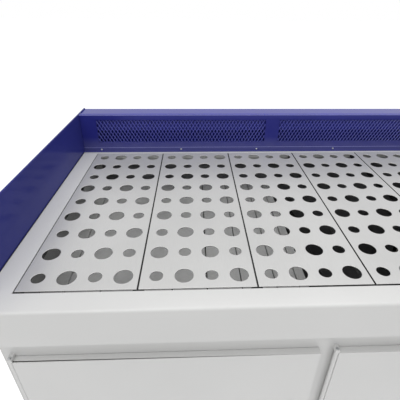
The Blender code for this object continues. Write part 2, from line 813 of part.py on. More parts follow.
def make_drawer(white):
    """Fold the dust drawer as an open tray behind a wider front with a bent pull."""
    half = DRAWER_HALF - DRAWER_CLEAR
    low = (-half, DOOR_FRONT + DOOR_DEPTH / 2, FLOOR_Z + FLOOR_RIM + GAP)
    bm = open_box(low, (half, DRAWER_BACK, DRAWER_TOP - DRAWER_HEADROOM), [(0, 0, 1)])
    tray = node("dust_drawer", bm, white, (0, DOOR_FRONT, DRAWER_LOW))
    thicken(tray, THIN_SHEET)
    front = bmesh.new()
    wide = BAY_HALF - CENTRE_DOOR_INSET
    box(front, (-wide, DOOR_FRONT, DRAWER_LOW - DRAWER_LAP), (wide, FACE_Y - EMBED, DRAWER_TOP))
    shape_with(tray, front, "UNION")
    pull = bmesh.new()
    z = (DRAWER_LOW + DRAWER_TOP) / 2
    reach = FRONT_Y - HARDWARE_PROUD + EMBED
    root = DOOR_FRONT + EMBED
    section = (
        (root, z + PULL_RISE),
        (reach, z + PULL_RISE),
        (reach, z - PULL_LIP),
        (reach + THIN_SHEET, z - PULL_LIP),
        (reach + THIN_SHEET, z + PULL_RISE - THIN_SHEET),
        (root, z + PULL_RISE - THIN_SHEET),
    )
    prism(pull, section, "X", -PULL_WIDTH / 2, PULL_WIDTH / 2)
    shape_with(tray, pull, "UNION")


# Filters

def make_partitions(galvanised):
    """Part the cabinet in three with plates that hold the filters, a shelf under each filter."""
    for name, side in SIDES.items():
        x = side * BAY_HALF
        near, far = FACE_BACK + GAP + SHEET + GAP, BACK_IN - 2 * SHEET - 3 * GAP
        low, high = FLOOR_Z + SHEET + GAP, DECK_Z - DECK_STEP - THIN_SHEET - GAP
        half = FILTER_LONG / 2 - FILTER_FRAME
        a, b = FILTER_Y - half, FILTER_Y + half
        c, d = FILTER_LOW + FILTER_FRAME, FILTER_LOW + FILTER_TALL - FILTER_FRAME
        bm = bmesh.new()
        window = [((a, c), (b, c), (b, d), (a, d))]
        outline = ((near, low), (far, low), (far, high), (near, high))
        plate(bm, outline, window, "X", x - side * THIN_SHEET / 2, x + side * THIN_SHEET / 2)
        sheet = node(f"partition_{name}", bm, galvanised)
        shelf = bmesh.new()
        top = FILTER_LOW - GAP
        reach = x - side * (FILTER_THICK + 2 * THIN_SHEET)
        section = (
            (x, top),
            (reach, top),
            (reach, top + SHELF_LIP),
            (reach - side * THIN_SHEET, top + SHELF_LIP),
            (reach - side * THIN_SHEET, top - THIN_SHEET),
            (x, top - THIN_SHEET),
        )
        prism(shelf, section, "Y", a - SHELF_EXTRA, b + SHELF_EXTRA)
        shape_with(sheet, shelf, "UNION")


def make_filters(media):
    """Fold a pleated pack inside a card frame, one against each partition."""
    for name, side in SIDES.items():
        start = side * (BAY_HALF - THIN_SHEET / 2 - GAP)
        end = start - side * FILTER_THICK
        edge = FILTER_EDGE
        low, high = FILTER_Y - FILTER_LONG / 2, FILTER_Y + FILTER_LONG / 2
        step = (FILTER_LONG - 2 * edge) / FILTER_PLEATS
        near, far = start - side * PLEAT_INSET, end + side * PLEAT_INSET
        inner_near, inner_far = near - side * PLEAT_SKIN, far + side * PLEAT_SKIN
        upper = [(start, low), (start, low + edge)]
        for i in range(FILTER_PLEATS):
            y = low + edge + i * step
            upper += [(near, y + PLEAT_FLAT), (inner_far, y + step / 2), (near, y + step - PLEAT_FLAT)]
        upper += [(start, high - edge), (start, high)]
        lower = [(end, high), (end, high - edge)]
        for i in reversed(range(FILTER_PLEATS)):
            y = low + edge + i * step
            lower.append((far, y + step / 2))
            if i:
                lower.append((inner_near, y))
        lower += [(end, low + edge), (end, low)]
        bm = bmesh.new()
        prism(bm, upper + lower, "Z", FILTER_LOW + edge, FILTER_LOW + FILTER_TALL - edge)
        pack = node(f"filter_{name}", bm, media)
        caps = bmesh.new()
        for z in (FILTER_LOW, FILTER_LOW + FILTER_TALL - edge - EMBED):
            x = sorted((start, end))
            box(caps, (x[0], low, z), (x[1], high, z + edge + EMBED))
        shape_with(pack, caps, "UNION")


# Fan sets

def scroll_outline():
    """Outline the scroll in (y, z): a spiral from the tongue round to a level outlet at the back."""
    points = []
    for i in range(SCROLL_STEPS + 1):
        share = i / SCROLL_STEPS
        angle = math.radians(SCROLL_START - SCROLL_SWEEP * share)
        radius = SCROLL_MIN_R + (SCROLL_MAX_R - SCROLL_MIN_R) * share
        points.append((FAN_Y + radius * math.cos(angle), FAN_Z + radius * math.sin(angle)))
    outlet = BACK_IN - GAP
    points.append((outlet, FAN_Z + SCROLL_MAX_R))
    points.append((outlet, FAN_Z + OUTLET_LOW))
    return points


def make_fans(grey, steel):
    """Build each fan set: a stand, a scroll housing, a bladed wheel and a foot-mounted motor."""
    for name, side in SIDES.items():
        mid = side * FAN_X
        inner, outer = mid - side * SCROLL_WIDTH / 2, mid + side * SCROLL_WIDTH / 2
        bm = bmesh.new()
        prism(bm, scroll_outline(), "X", *sorted((inner, outer)))
        bmesh.ops.recalc_face_normals(bm, faces=bm.faces[:])
        rear = BACK_IN - EMBED
        mouth = [f for f in bm.faces if f.normal.y > SAME_WAY and f.calc_center_median().y > rear]
        bmesh.ops.delete(bm, geom=mouth, context="FACES")
        housing = node(f"blower_housing_{name}", bm, grey)
        thicken(housing, THIN_SHEET)
        cut = bmesh.new()
        for x, radius, sides in ((inner, INLET_R, INLET_SIDES), (outer, SHAFT_R + SHAFT_CLEAR, PIN_SIDES)):
            rod(cut, "X", (FAN_Y, FAN_Z), radius, x - CUT_OVER, x + CUT_OVER, sides)
        shape_with(housing, cut, "DIFFERENCE")
        make_wheel(name, side, steel)
        make_motor(name, side, grey)


def make_wheel(name, side, steel):
    """Join backward-curved blades to a back plate with its hub and shaft, and to a front ring."""
    back = side * (FAN_X + SCROLL_WIDTH / 2 - WHEEL_BACK_GAP)
    front = back - side * WHEEL_WIDTH
    tip = side * (FAN_X + SCROLL_WIDTH / 2 + SHAFT_REACH)
    plate_front = back - side * WHEEL_PLATE
    hub_front = back - side * HUB_LENGTH
    profile = (
        (hub_front, 0),
        (hub_front, HUB_R - HUB_TAPER),
        (plate_front, HUB_R),
        (plate_front, WHEEL_R),
        (back, WHEEL_R),
        (back, SHAFT_R),
        (tip, SHAFT_R),
        (tip, 0),
    )
    bm = bmesh.new()
    turned(bm, profile, "X", (FAN_Y, FAN_Z), ROUND_SIDES)
    wheel = node(f"blower_wheel_{name}", bm, steel, (side * FAN_X, FAN_Y, FAN_Z))
    blades = bmesh.new()
    centre = Vector((FAN_Y, FAN_Z))
    for i in range(WHEEL_BLADES):
        turn = 2 * math.pi * i / WHEEL_BLADES
        lean = turn + math.radians(BLADE_LEAN)
        root = centre + BLADE_ROOT_R * Vector((math.cos(turn), math.sin(turn)))
        end = centre + BLADE_TIP_R * Vector((math.cos(lean), math.sin(lean)))
        across = (end - root).orthogonal().normalized() * THIN_SHEET
        corners = (root, end, end + across, root + across)
        prism(blades, corners, "X", *sorted((front + side * EMBED, back - side * EMBED)))
    shape_with(wheel, blades, "UNION")
    shroud = bmesh.new()
    near, far = front + side * 2 * EMBED, front + side * (2 * EMBED - SHROUD_WIDTH)
    rim = (
        (far, SHROUD_R),
        (near, SHROUD_R + 2 * WHEEL_PLATE),
        (near, WHEEL_R),
        (far, WHEEL_R),
    )
    turned(shroud, rim, "X", (FAN_Y, FAN_Z), ROUND_SIDES)
    shape_with(wheel, shroud, "UNION")


def make_motor(name, side, grey):
    """Turn the motor's body with its end bells and fan cowl, and stand it on a pedestal."""
    near = side * (FAN_X + SCROLL_WIDTH / 2 + MOTOR_SETBACK)
    far = near + side * MOTOR_LENGTH
    cowl = far - side * COWL_LENGTH
    profile = (
        (near + side * MOTOR_BORE, 0),
        (near + side * MOTOR_BORE, SHAFT_R + EMBED),
        (near, SHAFT_R + EMBED),
        (near, MOTOR_FACE_R),
        (near + side * MOTOR_BELL, MOTOR_R),
        (cowl, MOTOR_R),
        (cowl + side * THIN_SHEET, MOTOR_R + COWL_PROUD),
        (far - side * COWL_TAPER, MOTOR_R + COWL_PROUD),
        (far, MOTOR_R - COWL_TAPER),
        (far, 0),
    )
    bm = bmesh.new()
    turned(bm, profile, "X", (FAN_Y, FAN_Z), ROUND_SIDES)
    motor = node(f"motor_{name}", bm, grey, smooth=True)
    foot = bmesh.new()
    x = sorted((near + side * FOOT_INSET, cowl - side * MOTOR_BELL))
    low = (x[0], FAN_Y - FOOT_HALF, FAN_Z - MOTOR_CENTRE_HEIGHT)
    box(foot, low, (x[1], FAN_Y + FOOT_HALF, FAN_Z - FOOT_HALF))
    shape_with(motor, foot, "UNION")


def make_fan_stands(black):
    """Fold a stand for each fan set: low under the housing, high under the motor."""
    scroll_bottom = min(z for _, z in scroll_outline())
    for name, side in SIDES.items():
        step = FAN_X + SCROLL_WIDTH / 2 + STAND_STEP
        inner = FAN_X - SCROLL_WIDTH / 2 - STAND_LAP
        outer = FAN_X + SCROLL_WIDTH / 2 + MOTOR_LENGTH
        floor, low = FLOOR_Z + SHEET + GAP, scroll_bottom - GAP
        high = FAN_Z - MOTOR_CENTRE_HEIGHT - GAP
        section = (
            (inner, floor),
            (inner, low),
            (step, low),
            (step, high),
            (outer, high),
            (outer, floor),
            (outer - SHEET, floor),
            (outer - SHEET, high - SHEET),
            (step + SHEET, high - SHEET),
            (step + SHEET, low - SHEET),
            (inner + SHEET, low - SHEET),
            (inner + SHEET, floor),
        )
        bm = bmesh.new()
        prism(bm, mirror_x(section, side), "Y", FAN_Y - STAND_HALF, FAN_Y + STAND_HALF)
        node(f"fan_stand_{name}", bm, black)


def make_exhaust_grilles(white):
    """Fill each outlet of the back sheet with a plate of level slots, flush with its outer face."""
    for name, side in SIDES.items():
        x, half = side * FAN_X, SCROLL_WIDTH / 2 - SHEET - GAP
        low, high = FAN_Z + OUTLET_LOW + SHEET + GAP, FAN_Z + SCROLL_MAX_R - SHEET - GAP
        slots = []
        pitch = (high - low - 2 * GRILLE_END) / GRILLE_SLOTS
        left, right = x - half + GRILLE_SIDE, x + half - GRILLE_SIDE
        for i in range(GRILLE_SLOTS):
            a = low + GRILLE_END + i * pitch + SLOT_BAR / 2
            b = a + pitch - SLOT_BAR
            slots.append(((left, a), (right, a), (right, b), (left, b)))
        bm = bmesh.new()
        outline = ((x - half, low), (x + half, low), (x + half, high), (x - half, high))
        plate(bm, outline, slots, "Y", BACK_IN + GAP, BACK_Y)
        node(f"exhaust_grille_{name}", bm, white)


# Controls at the right end of the apron

def make_controls(black, green, red, dial):
    """Fit a switch box with two buttons behind the apron, and a pressure gauge beside them."""
    bm = bmesh.new()
    near, far = FRONT_Y + SHEET + GAP, FACE_Y - GAP
    low = (BUTTON_X[0] - BOX_SIDE, near, CONTROL_Z - BOX_HALF)
    box(bm, low, (BUTTON_X[1] + BOX_SIDE, far, CONTROL_Z + BOX_HALF))
    case = node("switch_box", bm, black)
    cut = bmesh.new()
    for x in BUTTON_X:
        rod(cut, "Y", (x, CONTROL_Z), BUTTON_HOLE_R, near - EMBED, near + BOX_POCKET, ROUND_SIDES)
    shape_with(case, cut, "DIFFERENCE")
    for name, x, colour in (("start_button", BUTTON_X[0], green), ("stop_button", BUTTON_X[1], red)):
        bm = bmesh.new()
        front = FRONT_Y - BUTTON_PROUD
        profile = (
            (front, 0),
            (front, BUTTON_R - BUTTON_EDGE),
            (front + BUTTON_EDGE, BUTTON_R),
            (near + BUTTON_BACK, BUTTON_R),
            (near + BUTTON_BACK, 0),
        )
        turned(bm, profile, "Y", (x, CONTROL_Z), ROUND_SIDES)
        node(name, bm, colour, (x, FRONT_Y, CONTROL_Z), smooth=True)
    bm = bmesh.new()
    profile = (
        (FRONT_Y + DIAL_DEPTH, 0),
        (FRONT_Y + DIAL_DEPTH, GAUGE_R - GAUGE_RIM),
        (FRONT_Y - GAUGE_PROUD, GAUGE_R - GAUGE_RIM),
        (FRONT_Y - GAUGE_PROUD, GAUGE_R + GAUGE_RIM),
        (FRONT_Y - GAP, GAUGE_R + GAUGE_FLANGE),
        (FRONT_Y - GAP, GAUGE_R),
        (far, GAUGE_R),
        (far, 0),
    )
    turned(bm, profile, "Y", (GAUGE_X, CONTROL_Z), ROUND_SIDES)
    node("filter_gauge", bm, dial, smooth=True)
    make_needle(black)


def make_needle(black):
    """Cut a tapered needle that swings on a hub at the low middle of the dial."""
    hub = Vector((GAUGE_X, CONTROL_Z - NEEDLE_DROP))
    turn = Matrix.Rotation(math.radians(NEEDLE_REST), 2)
    half = ((NEEDLE_TAIL, -NEEDLE_TAIL), (NEEDLE_ROOT, NEEDLE_SHOULDER), (NEEDLE_TIP, NEEDLE_LENGTH))
    outline = list(half) + [(-x, y) for x, y in reversed(half)]
    points = [hub + turn @ Vector(p) for p in outline]
    bm = bmesh.new()
    prism(bm, points, "Y", FRONT_Y + NEEDLE_FRONT, FRONT_Y + NEEDLE_BACK)
    node("gauge_needle", bm, black, (hub.x, FRONT_Y, hub.y))


def build():
    """Clear the scene and build every piece."""
    for obj in list(bpy.data.objects):
        bpy.data.objects.remove(obj)
    white = finish("white_powder_coat", (0.78, 0.78, 0.77), 0.35)
    blue = finish("violet_blue_powder_coat", (0.055, 0.055, 0.19), 0.22)
    stainless = finish("stainless_steel", (0.62, 0.62, 0.61), 0.38, 1.0)
    galvanised = finish("galvanised_steel", (0.45, 0.46, 0.47), 0.45, 0.8)
    zinc = finish("zinc_plated_steel", (0.60, 0.60, 0.58), 0.35, 1.0)
    black = finish("black_paint", (0.03, 0.03, 0.032), 0.5)
    grey = finish("grey_machine_paint", (0.25, 0.27, 0.29), 0.45)
    media = finish("filter_media", (0.75, 0.74, 0.68), 0.9)
    green = finish("green_plastic", (0.02, 0.30, 0.08), 0.35)
    red = finish("red_plastic", (0.55, 0.03, 0.02), 0.35)
    dial = finish("gauge_enamel", (0.70, 0.70, 0.68), 0.4)
    make_top_frame(white)
    make_support_grid(black)
    make_panels(stainless)
    make_side_walls(blue)
    make_plenum_face(blue)
    make_plenum_cover(blue)
    make_mesh_screens(blue)
    make_plenum_trim(blue)
    make_decks(galvanised)
    make_cabinet_shell(white)
    make_base_channels(black)
    make_cabinet_front(white)
    make_doors(white, zinc, black)
    make_drawer(white)
    make_partitions(galvanised)
    make_filters(media)
    make_fans(grey, zinc)
    make_fan_stands(black)
    make_exhaust_grilles(white)
    make_controls(black, green, red, dial)


build()
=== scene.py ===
"""The looks of a downdraft work table: finishes, fine sheet-metal detail, light and camera.

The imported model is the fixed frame, in metres, with its front towards -Y and its origin on the floor.
"""

import json
import logging
import math
from collections.abc import Callable, Sequence
from dataclasses import dataclass
from enum import Enum

import bpy
from mathutils import Matrix, Vector

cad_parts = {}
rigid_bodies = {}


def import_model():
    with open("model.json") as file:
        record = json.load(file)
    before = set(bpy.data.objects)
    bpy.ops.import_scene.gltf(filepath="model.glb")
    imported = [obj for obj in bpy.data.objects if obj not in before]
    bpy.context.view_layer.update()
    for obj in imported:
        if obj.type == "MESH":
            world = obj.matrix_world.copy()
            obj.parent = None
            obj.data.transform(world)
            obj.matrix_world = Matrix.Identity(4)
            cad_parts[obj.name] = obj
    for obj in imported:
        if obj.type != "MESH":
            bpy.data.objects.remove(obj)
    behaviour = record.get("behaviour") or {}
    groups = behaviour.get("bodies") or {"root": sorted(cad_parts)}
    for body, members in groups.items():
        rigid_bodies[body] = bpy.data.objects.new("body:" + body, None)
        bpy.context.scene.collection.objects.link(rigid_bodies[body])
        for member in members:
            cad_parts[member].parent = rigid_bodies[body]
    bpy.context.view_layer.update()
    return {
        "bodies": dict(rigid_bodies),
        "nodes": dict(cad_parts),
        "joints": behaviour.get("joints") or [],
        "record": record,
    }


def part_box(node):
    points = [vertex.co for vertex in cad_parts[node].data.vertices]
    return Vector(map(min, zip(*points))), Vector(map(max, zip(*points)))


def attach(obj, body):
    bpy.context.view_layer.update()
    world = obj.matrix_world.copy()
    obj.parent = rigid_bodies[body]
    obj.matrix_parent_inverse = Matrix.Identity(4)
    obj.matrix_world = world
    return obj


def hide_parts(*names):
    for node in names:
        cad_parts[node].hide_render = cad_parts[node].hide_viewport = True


LOG = logging.getLogger("downdraft_table")

MM = 0.001
INCH = 0.0254
TABLE_BODY = "table"
SIDES = {"left": -1, "right": 1}

# Places closer than this are the same place.
NEAR = 0.01 * MM
# How much of a face's normal lies along an axis where the face is square to it, faces it or tips to it.
SQUARE = 0.99
FACING = 0.5
TIPPED = 0.2
# Edges sharper than the first two are rounded, or stay sharp in smooth shading. Below the third, a face
# runs on across the edge.
ROUNDED_ANGLE = math.radians(30)
SHARP_ANGLE = math.radians(35)
FLAT_ANGLE = math.radians(0.5)
# The inputs and the output that a Mix node uses for colours, which share their names with others.
MIX_FIRST, MIX_SECOND, MIX_RESULT = 6, 7, 2

Point = tuple[float, float, float]
Span = tuple[float, float]
PointTest = Callable[[Vector], bool]
FaceTest = Callable[[Vector, Vector], bool]

# Most of a noise pattern's values lie in this span.
NOISE_SPAN: Span = (0.3, 0.7)


class Axis(Enum):
    """The direction that a piece is turned about or pulled along, with its place among x, y and z."""

    X = 0
    Y = 1
    Z = 2


# Colour and node helpers


def linear(code: str) -> tuple[float, float, float, float]:
    """Turn an sRGB hex colour into the linear colour that a shader takes.

    Args:
        code: A hash and six hex digits.

    Returns:
        Red, green, blue and full opacity, linear.
    """
    values = []
    for start in (1, 3, 5):
        share = int(code[start : start + 2], 16) / 255
        # The sRGB standard's curve: a straight foot and then a power.
        values.append(share / 12.92 if share <= 0.04045 else ((share + 0.055) / 1.055) ** 2.4)
    return (values[0], values[1], values[2], 1.0)


def add_node(
    tree: bpy.types.NodeTree,
    kind: str,
    links: dict[str | int, bpy.types.NodeSocket] | None = None,
    values: dict[str | int, object] | None = None,
    stops: Sequence[tuple[float, str]] = (),
    **settings: object,
) -> bpy.types.Node:
    """Add a node to a tree with its settings, its values and what feeds it.

    Args:
        tree: The material's node tree.
        kind: Blender's node type name.
        links: Output sockets by the input that each one feeds.
        values: Constants by input.
        stops: Place and hex colour of each stop, where the node has a colour ramp.
        **settings: Attributes of the node itself.

    Returns:
        The new node.
    """
    node = tree.nodes.new(kind)
    for name, value in settings.items():
        setattr(node, name, value)
    for name, value in (values or {}).items():
        node.inputs[name].default_value = value
    for name, socket in (links or {}).items():
        tree.links.new(socket, node.inputs[name])
    for i, (place, code) in enumerate(stops):
        node.color_ramp.elements[i].position = place
        node.color_ramp.elements[i].color = linear(code)
    return node


# Mesh helpers, all in object mode between calls, apart from those that enter edit mode


def deselect_all() -> None:
    """Deselect every object, so that an operator acts only on what is picked next."""
    bpy.ops.object.select_all(action="DESELECT")


def pick(*objects: bpy.types.Object) -> None:
    """Select these objects alone and make the first one active.

    Args:
        *objects: What to select.
    """
    deselect_all()
    for item in objects:
        item.select_set(True)
    bpy.context.view_layer.objects.active = objects[0]


def named(name: str) -> bpy.types.Object:
    """Name the object that an operator has just made.

    Args:
        name: Name of the object and of its mesh.

    Returns:
        The object.
    """
    made = bpy.context.view_layer.objects.active
    made.name = name
    made.data.name = name
    return made


def enter_edit(piece: bpy.types.Object, action: str = "SELECT") -> None:
    """Enter edit mode on a piece.

    Args:
        piece: The mesh object.
        action: SELECT to have all of its points selected, or DESELECT.
    """
    pick(piece)
    bpy.ops.object.mode_set(mode="EDIT")
    bpy.ops.mesh.select_mode(type="VERT")
    bpy.ops.mesh.select_all(action=action)


def leave_edit() -> None:
    """Go back to object mode."""
    bpy.ops.object.mode_set(mode="OBJECT")


def select_points(piece: bpy.types.Object, test: PointTest) -> None:
    """Enter edit mode with some points selected.

    Args:
        piece: The mesh object.
        test: Tells from a point's place whether it is one of them.
    """
    enter_edit(piece, "DESELECT")
    leave_edit()
    for point in piece.data.vertices:
        point.select = test(point.co)
    bpy.ops.object.mode_set(mode="EDIT")


def select_faces(piece: bpy.types.Object, test: FaceTest) -> None:
    """Enter edit mode with some faces selected.

    Args:
        piece: The mesh object.
        test: Tells from a face's middle and normal whether it is one of them.
    """
    enter_edit(piece, "DESELECT")
    bpy.ops.mesh.select_mode(type="FACE")
    leave_edit()
    for face in piece.data.polygons:
        face.select = test(face.center, face.normal)
    bpy.ops.object.mode_set(mode="EDIT")


def delete_faces(piece: bpy.types.Object, test: FaceTest) -> None:
    """Delete some faces.

    Args:
        piece: The mesh object.
        test: Tells from a face's middle and normal whether it goes.
    """
    select_faces(piece, test)
    bpy.ops.mesh.delete(type="FACE")
    leave_edit()


def apply_place(piece: bpy.types.Object) -> None:
    """Put a piece's place, turn and size into its mesh."""
    pick(piece)
    bpy.ops.object.transform_apply(location=True, rotation=True, scale=True)


def apply_modifier(piece: bpy.types.Object, kind: str, **settings: object) -> None:
    """Add a modifier with its settings and apply it at once.

    Args:
        piece: The mesh object.
        kind: Blender's modifier type.
        **settings: Attributes of the modifier.
    """
    pick(piece)
    modifier = piece.modifiers.new(kind.title(), kind)
    for name, value in settings.items():
        setattr(modifier, name, value)
    bpy.ops.object.modifier_apply(modifier=modifier.name)


def repeat(piece: bpy.types.Object, count: int, step: Point) -> None:
    """Set copies of a piece in a row, all in its own mesh.

    Args:
        piece: The mesh object.
        count: How many there are in the end.
        step: From one to the next.
    """
    apply_modifier(
        piece,
        "ARRAY",
        count=count,
        use_relative_offset=False,
        use_constant_offset=True,
        constant_offset_displace=step,
    )


def thicken(piece: bpy.types.Object, sheet: float) -> None:
    """Give a skin the thickness of its sheet, inwards."""
    apply_modifier(piece, "SOLIDIFY", thickness=sheet, offset=-1, use_even_offset=True)


def punch_out(piece: bpy.types.Object, tool: bpy.types.Object) -> None:
    """Cut a tool's shape out of a piece and remove the tool."""
    apply_modifier(piece, "BOOLEAN", operation="DIFFERENCE", solver="EXACT", object=tool)
    bpy.data.objects.remove(tool)


def merge_and_face_out(piece: bpy.types.Object) -> None:
    """Merge the points that lie at the same place and point the faces outwards.

    Args:
        piece: The mesh object.
    """
    enter_edit(piece)
    bpy.ops.mesh.remove_doubles(threshold=NEAR)
    bpy.ops.mesh.normals_make_consistent(inside=False)
    leave_edit()


def join(name: str, parts: Sequence[bpy.types.Object]) -> bpy.types.Object:
    """Join parts into one piece.

    Args:
        name: Name of the piece.
        parts: What it is made of.

    Returns:
        The piece.
    """
    pick(*parts)
    bpy.ops.object.join()
    return named(name)


def duplicate(piece: bpy.types.Object, name: str, offset: Point = (0.0, 0.0, 0.0)) -> bpy.types.Object:
    """Copy a piece with a mesh of its own, moved by an offset that goes into the mesh.

    Args:
        piece: What to copy.
        name: Name of the copy.
        offset: How far the copy moves.

    Returns:
        The copy.
    """
    pick(piece)
    bpy.ops.object.duplicate(linked=False)
    bpy.ops.transform.translate(value=offset)
    twin = named(name)
    apply_place(twin)
    return twin


def slab(name: str, low: Sequence[float], high: Sequence[float]) -> bpy.types.Object:
    """Make a box between two corners from the cube primitive.

    Args:
        name: Name of the piece.
        low: Lowest corner.
        high: Highest corner.

    Returns:
        The box, still to be shaped.
    """
    deselect_all()
    bpy.ops.mesh.primitive_cube_add(size=1, location=(Vector(low) + Vector(high)) / 2)
    made = named(name)
    made.scale = Vector(high) - Vector(low)
    apply_place(made)
    return made


def put(axis: Axis, across: Span, along: float) -> Vector:
    """Place a point.

    Args:
        axis: The piece's axis.
        across: The point's place across it, in x, y, z order.
        along: Its place along it.

    Returns:
        The point.
    """
    point = list(across)
    point.insert(axis.value, along)
    return Vector(point)


def traced(name: str, points: Sequence[Vector]) -> bpy.types.Object:
    """Shrink a plane to one point and extrude it from place to place.

    Args:
        name: Name of the piece.
        points: The places, in order.

    Returns:
        The line, in edit mode and all selected.
    """
    deselect_all()
    bpy.ops.mesh.primitive_plane_add(size=MM)
    made = named(name)
    enter_edit(made)
    bpy.ops.mesh.merge(type="CENTER")
    bpy.ops.transform.translate(value=points[0])
    for here, there in zip(points, points[1:]):
        bpy.ops.mesh.extrude_vertices_move(TRANSFORM_OT_translate={"value": there - here})
    bpy.ops.mesh.select_all(action="SELECT")
    return made


def drawn(name: str, outline: Sequence[Span], axis: Axis, start: float, end: float) -> bpy.types.Object:
    """Draw a closed outline across an axis, fill it and extrude it along the axis.

    Args:
        name: Name of the piece.
        outline: Corners in order: (y, z) across X, (x, z) across Y, (x, y) across Z.
        axis: The direction of the extrusion.
        start: Where it starts.
        end: Where it ends.

    Returns:
        The closed prism.
    """
    made = traced(name, [put(axis, place, start) for place in outline])
    bpy.ops.mesh.edge_face_add()
    bpy.ops.mesh.extrude_region_move(TRANSFORM_OT_translate={"value": put(axis, (0, 0), end - start)})
    leave_edit()
    merge_and_face_out(made)
    return made


def section(start: float, sign: int, points_mm: Sequence[Span], radius: float = 0.0) -> list[Span]:
    """Give the points of a turned piece's half section, written in millimetres.

    Args:
        start: The place along the axis that the points count from.
        sign: 1 where they run along the axis, or -1 where they run back.
        points_mm: Distance and radius of each point.
        radius: What is added to every radius, in metres.

    Returns:
        Place along the axis and radius of each point, in metres.
    """
    return [(start + sign * along * MM, radius + out * MM) for along, out in points_mm]


def turned(
    name: str, profile: Sequence[Span], axis: Axis, centre: Span, sides: int = 40
) -> bpy.types.Object:
    """Spin a profile about an axis.

    Args:
        name: Name of the piece.
        profile: Place along the axis and radius of each point, from the axis back to it or round a ring.
        axis: Direction of the piece's axis.
        centre: Where the axis stands, across it.
        sides: Faces round the piece.

    Returns:
        The turned piece, smooth between its sharp edges.
    """
    points = [put(axis, (centre[0] + radius, centre[1]), along) for along, radius in profile]
    if profile[0][1] > 0:
        points.append(points[0])
    made = traced(name, points)
    bpy.ops.mesh.spin(
        steps=sides, angle=2 * math.pi, center=put(axis, centre, 0), axis=put(axis, (0, 0), 1)
    )
    leave_edit()
    merge_and_face_out(made)
    smooth(made)
    return made


def smooth(piece: bpy.types.Object) -> None:
    """Shade a piece smooth between its sharp edges."""
    pick(piece)
    bpy.ops.object.shade_smooth_by_angle(angle=SHARP_ANGLE)


def soften(piece: bpy.types.Object, width: float, segments: int = 2) -> None:
    """Round a piece's edges and keep its flat faces flat.

    Args:
        piece: The mesh object.
        width: Size of the rounding, in metres.
        segments: Faces across the rounding.
    """
    pick(piece)
    bpy.ops.object.shade_smooth()
    apply_modifier(
        piece,
        "BEVEL",
        width=width,
        segments=segments,
        limit_method="ANGLE",
        angle_limit=ROUNDED_ANGLE,
        harden_normals=True,
    )


def from_node(node: str, width: float) -> bpy.types.Object:
    """Copy a CAD node, merge its loose triangles and round its edges.

    Args:
        node: Name of the CAD node.
        width: Size of the rounding, in metres.

    Returns:
        The copy, still to be dressed.
    """
    source = bpy.data.objects[node]
    made = bpy.data.objects.new(f"{node}_sheet", source.data.copy())
    bpy.context.scene.collection.objects.link(made)
    enter_edit(made)
    bpy.ops.mesh.customdata_custom_splitnormals_clear()
    bpy.ops.mesh.remove_doubles(threshold=NEAR)
    bpy.ops.mesh.dissolve_limited(angle_limit=FLAT_ANGLE)
    leave_edit()
    soften(made, width)
    return made


def dress(
    piece: bpy.types.Object,
    material: bpy.types.Material,
    body: str = TABLE_BODY,
    stands_for: str | None = None,
) -> bpy.types.Object:
    """Give a finished piece its finish and say what carries it.

    Args:
        piece: The mesh object.
        material: Its finish.
        body: The body that it rides on.
        stands_for: The CAD node that it replaces.

    Returns:
        The piece.
    """
    piece.data.materials.clear()
    piece.data.materials.append(material)
    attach(piece, body)
    if stands_for:
        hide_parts(stands_for)
    return piece


def dress_faces(piece: bpy.types.Object, material: bpy.types.Material, test: FaceTest) -> None:
    """Give some faces a finish of their own.

    Args:
        piece: A piece that is already dressed.
        material: The finish of those faces.
        test: Tells from a face's middle and normal whether it is one of them.
    """
    piece.data.materials.append(material)
    select_faces(piece, test)
    piece.active_material_index = len(piece.data.materials) - 1
    bpy.ops.object.material_slot_assign()
    leave_edit()


# Finishes

Started = tuple[bpy.types.Material, bpy.types.NodeTree, bpy.types.Node, bpy.types.NodeSocket]


@dataclass(frozen=True)
class Finish:
    """What every finish has: two close colours, which its pattern mixes, and a roughness."""

    name: str
    colour: str
    shade: str
    roughness: float

    def start(self, constants: dict[str, float]) -> Started:
        """Start a material, with what is the same all over it on the shader's own sockets.

        Args:
            constants: Values by the shader's input.

        Returns:
            The material, its tree, its shader and the place that its patterns read.
        """
        material = bpy.data.materials.new(self.name)
        material.use_nodes = True
        tree = material.node_tree
        shader = tree.nodes["Principled BSDF"]
        for name, value in constants.items():
            shader.inputs[name].default_value = value
        place = add_node(tree, "ShaderNodeTexCoord").outputs["Object"]
        return material, tree, shader, place

    def colour_stops(self, span: Span) -> tuple[tuple[float, str], tuple[float, str]]:
        """Give a ramp's stops, from the shade to the colour over a pattern's span."""
        return ((span[0], self.shade), (span[1], self.colour))

    def gloss_range(self, span: Span, drift: float) -> dict[str, float]:
        """Give a range's constants, which let the roughness drift to both sides over a pattern's span."""
        low, high = self.roughness - drift, self.roughness + drift
        return {"From Min": span[0], "From Max": span[1], "To Min": low, "To Max": high}


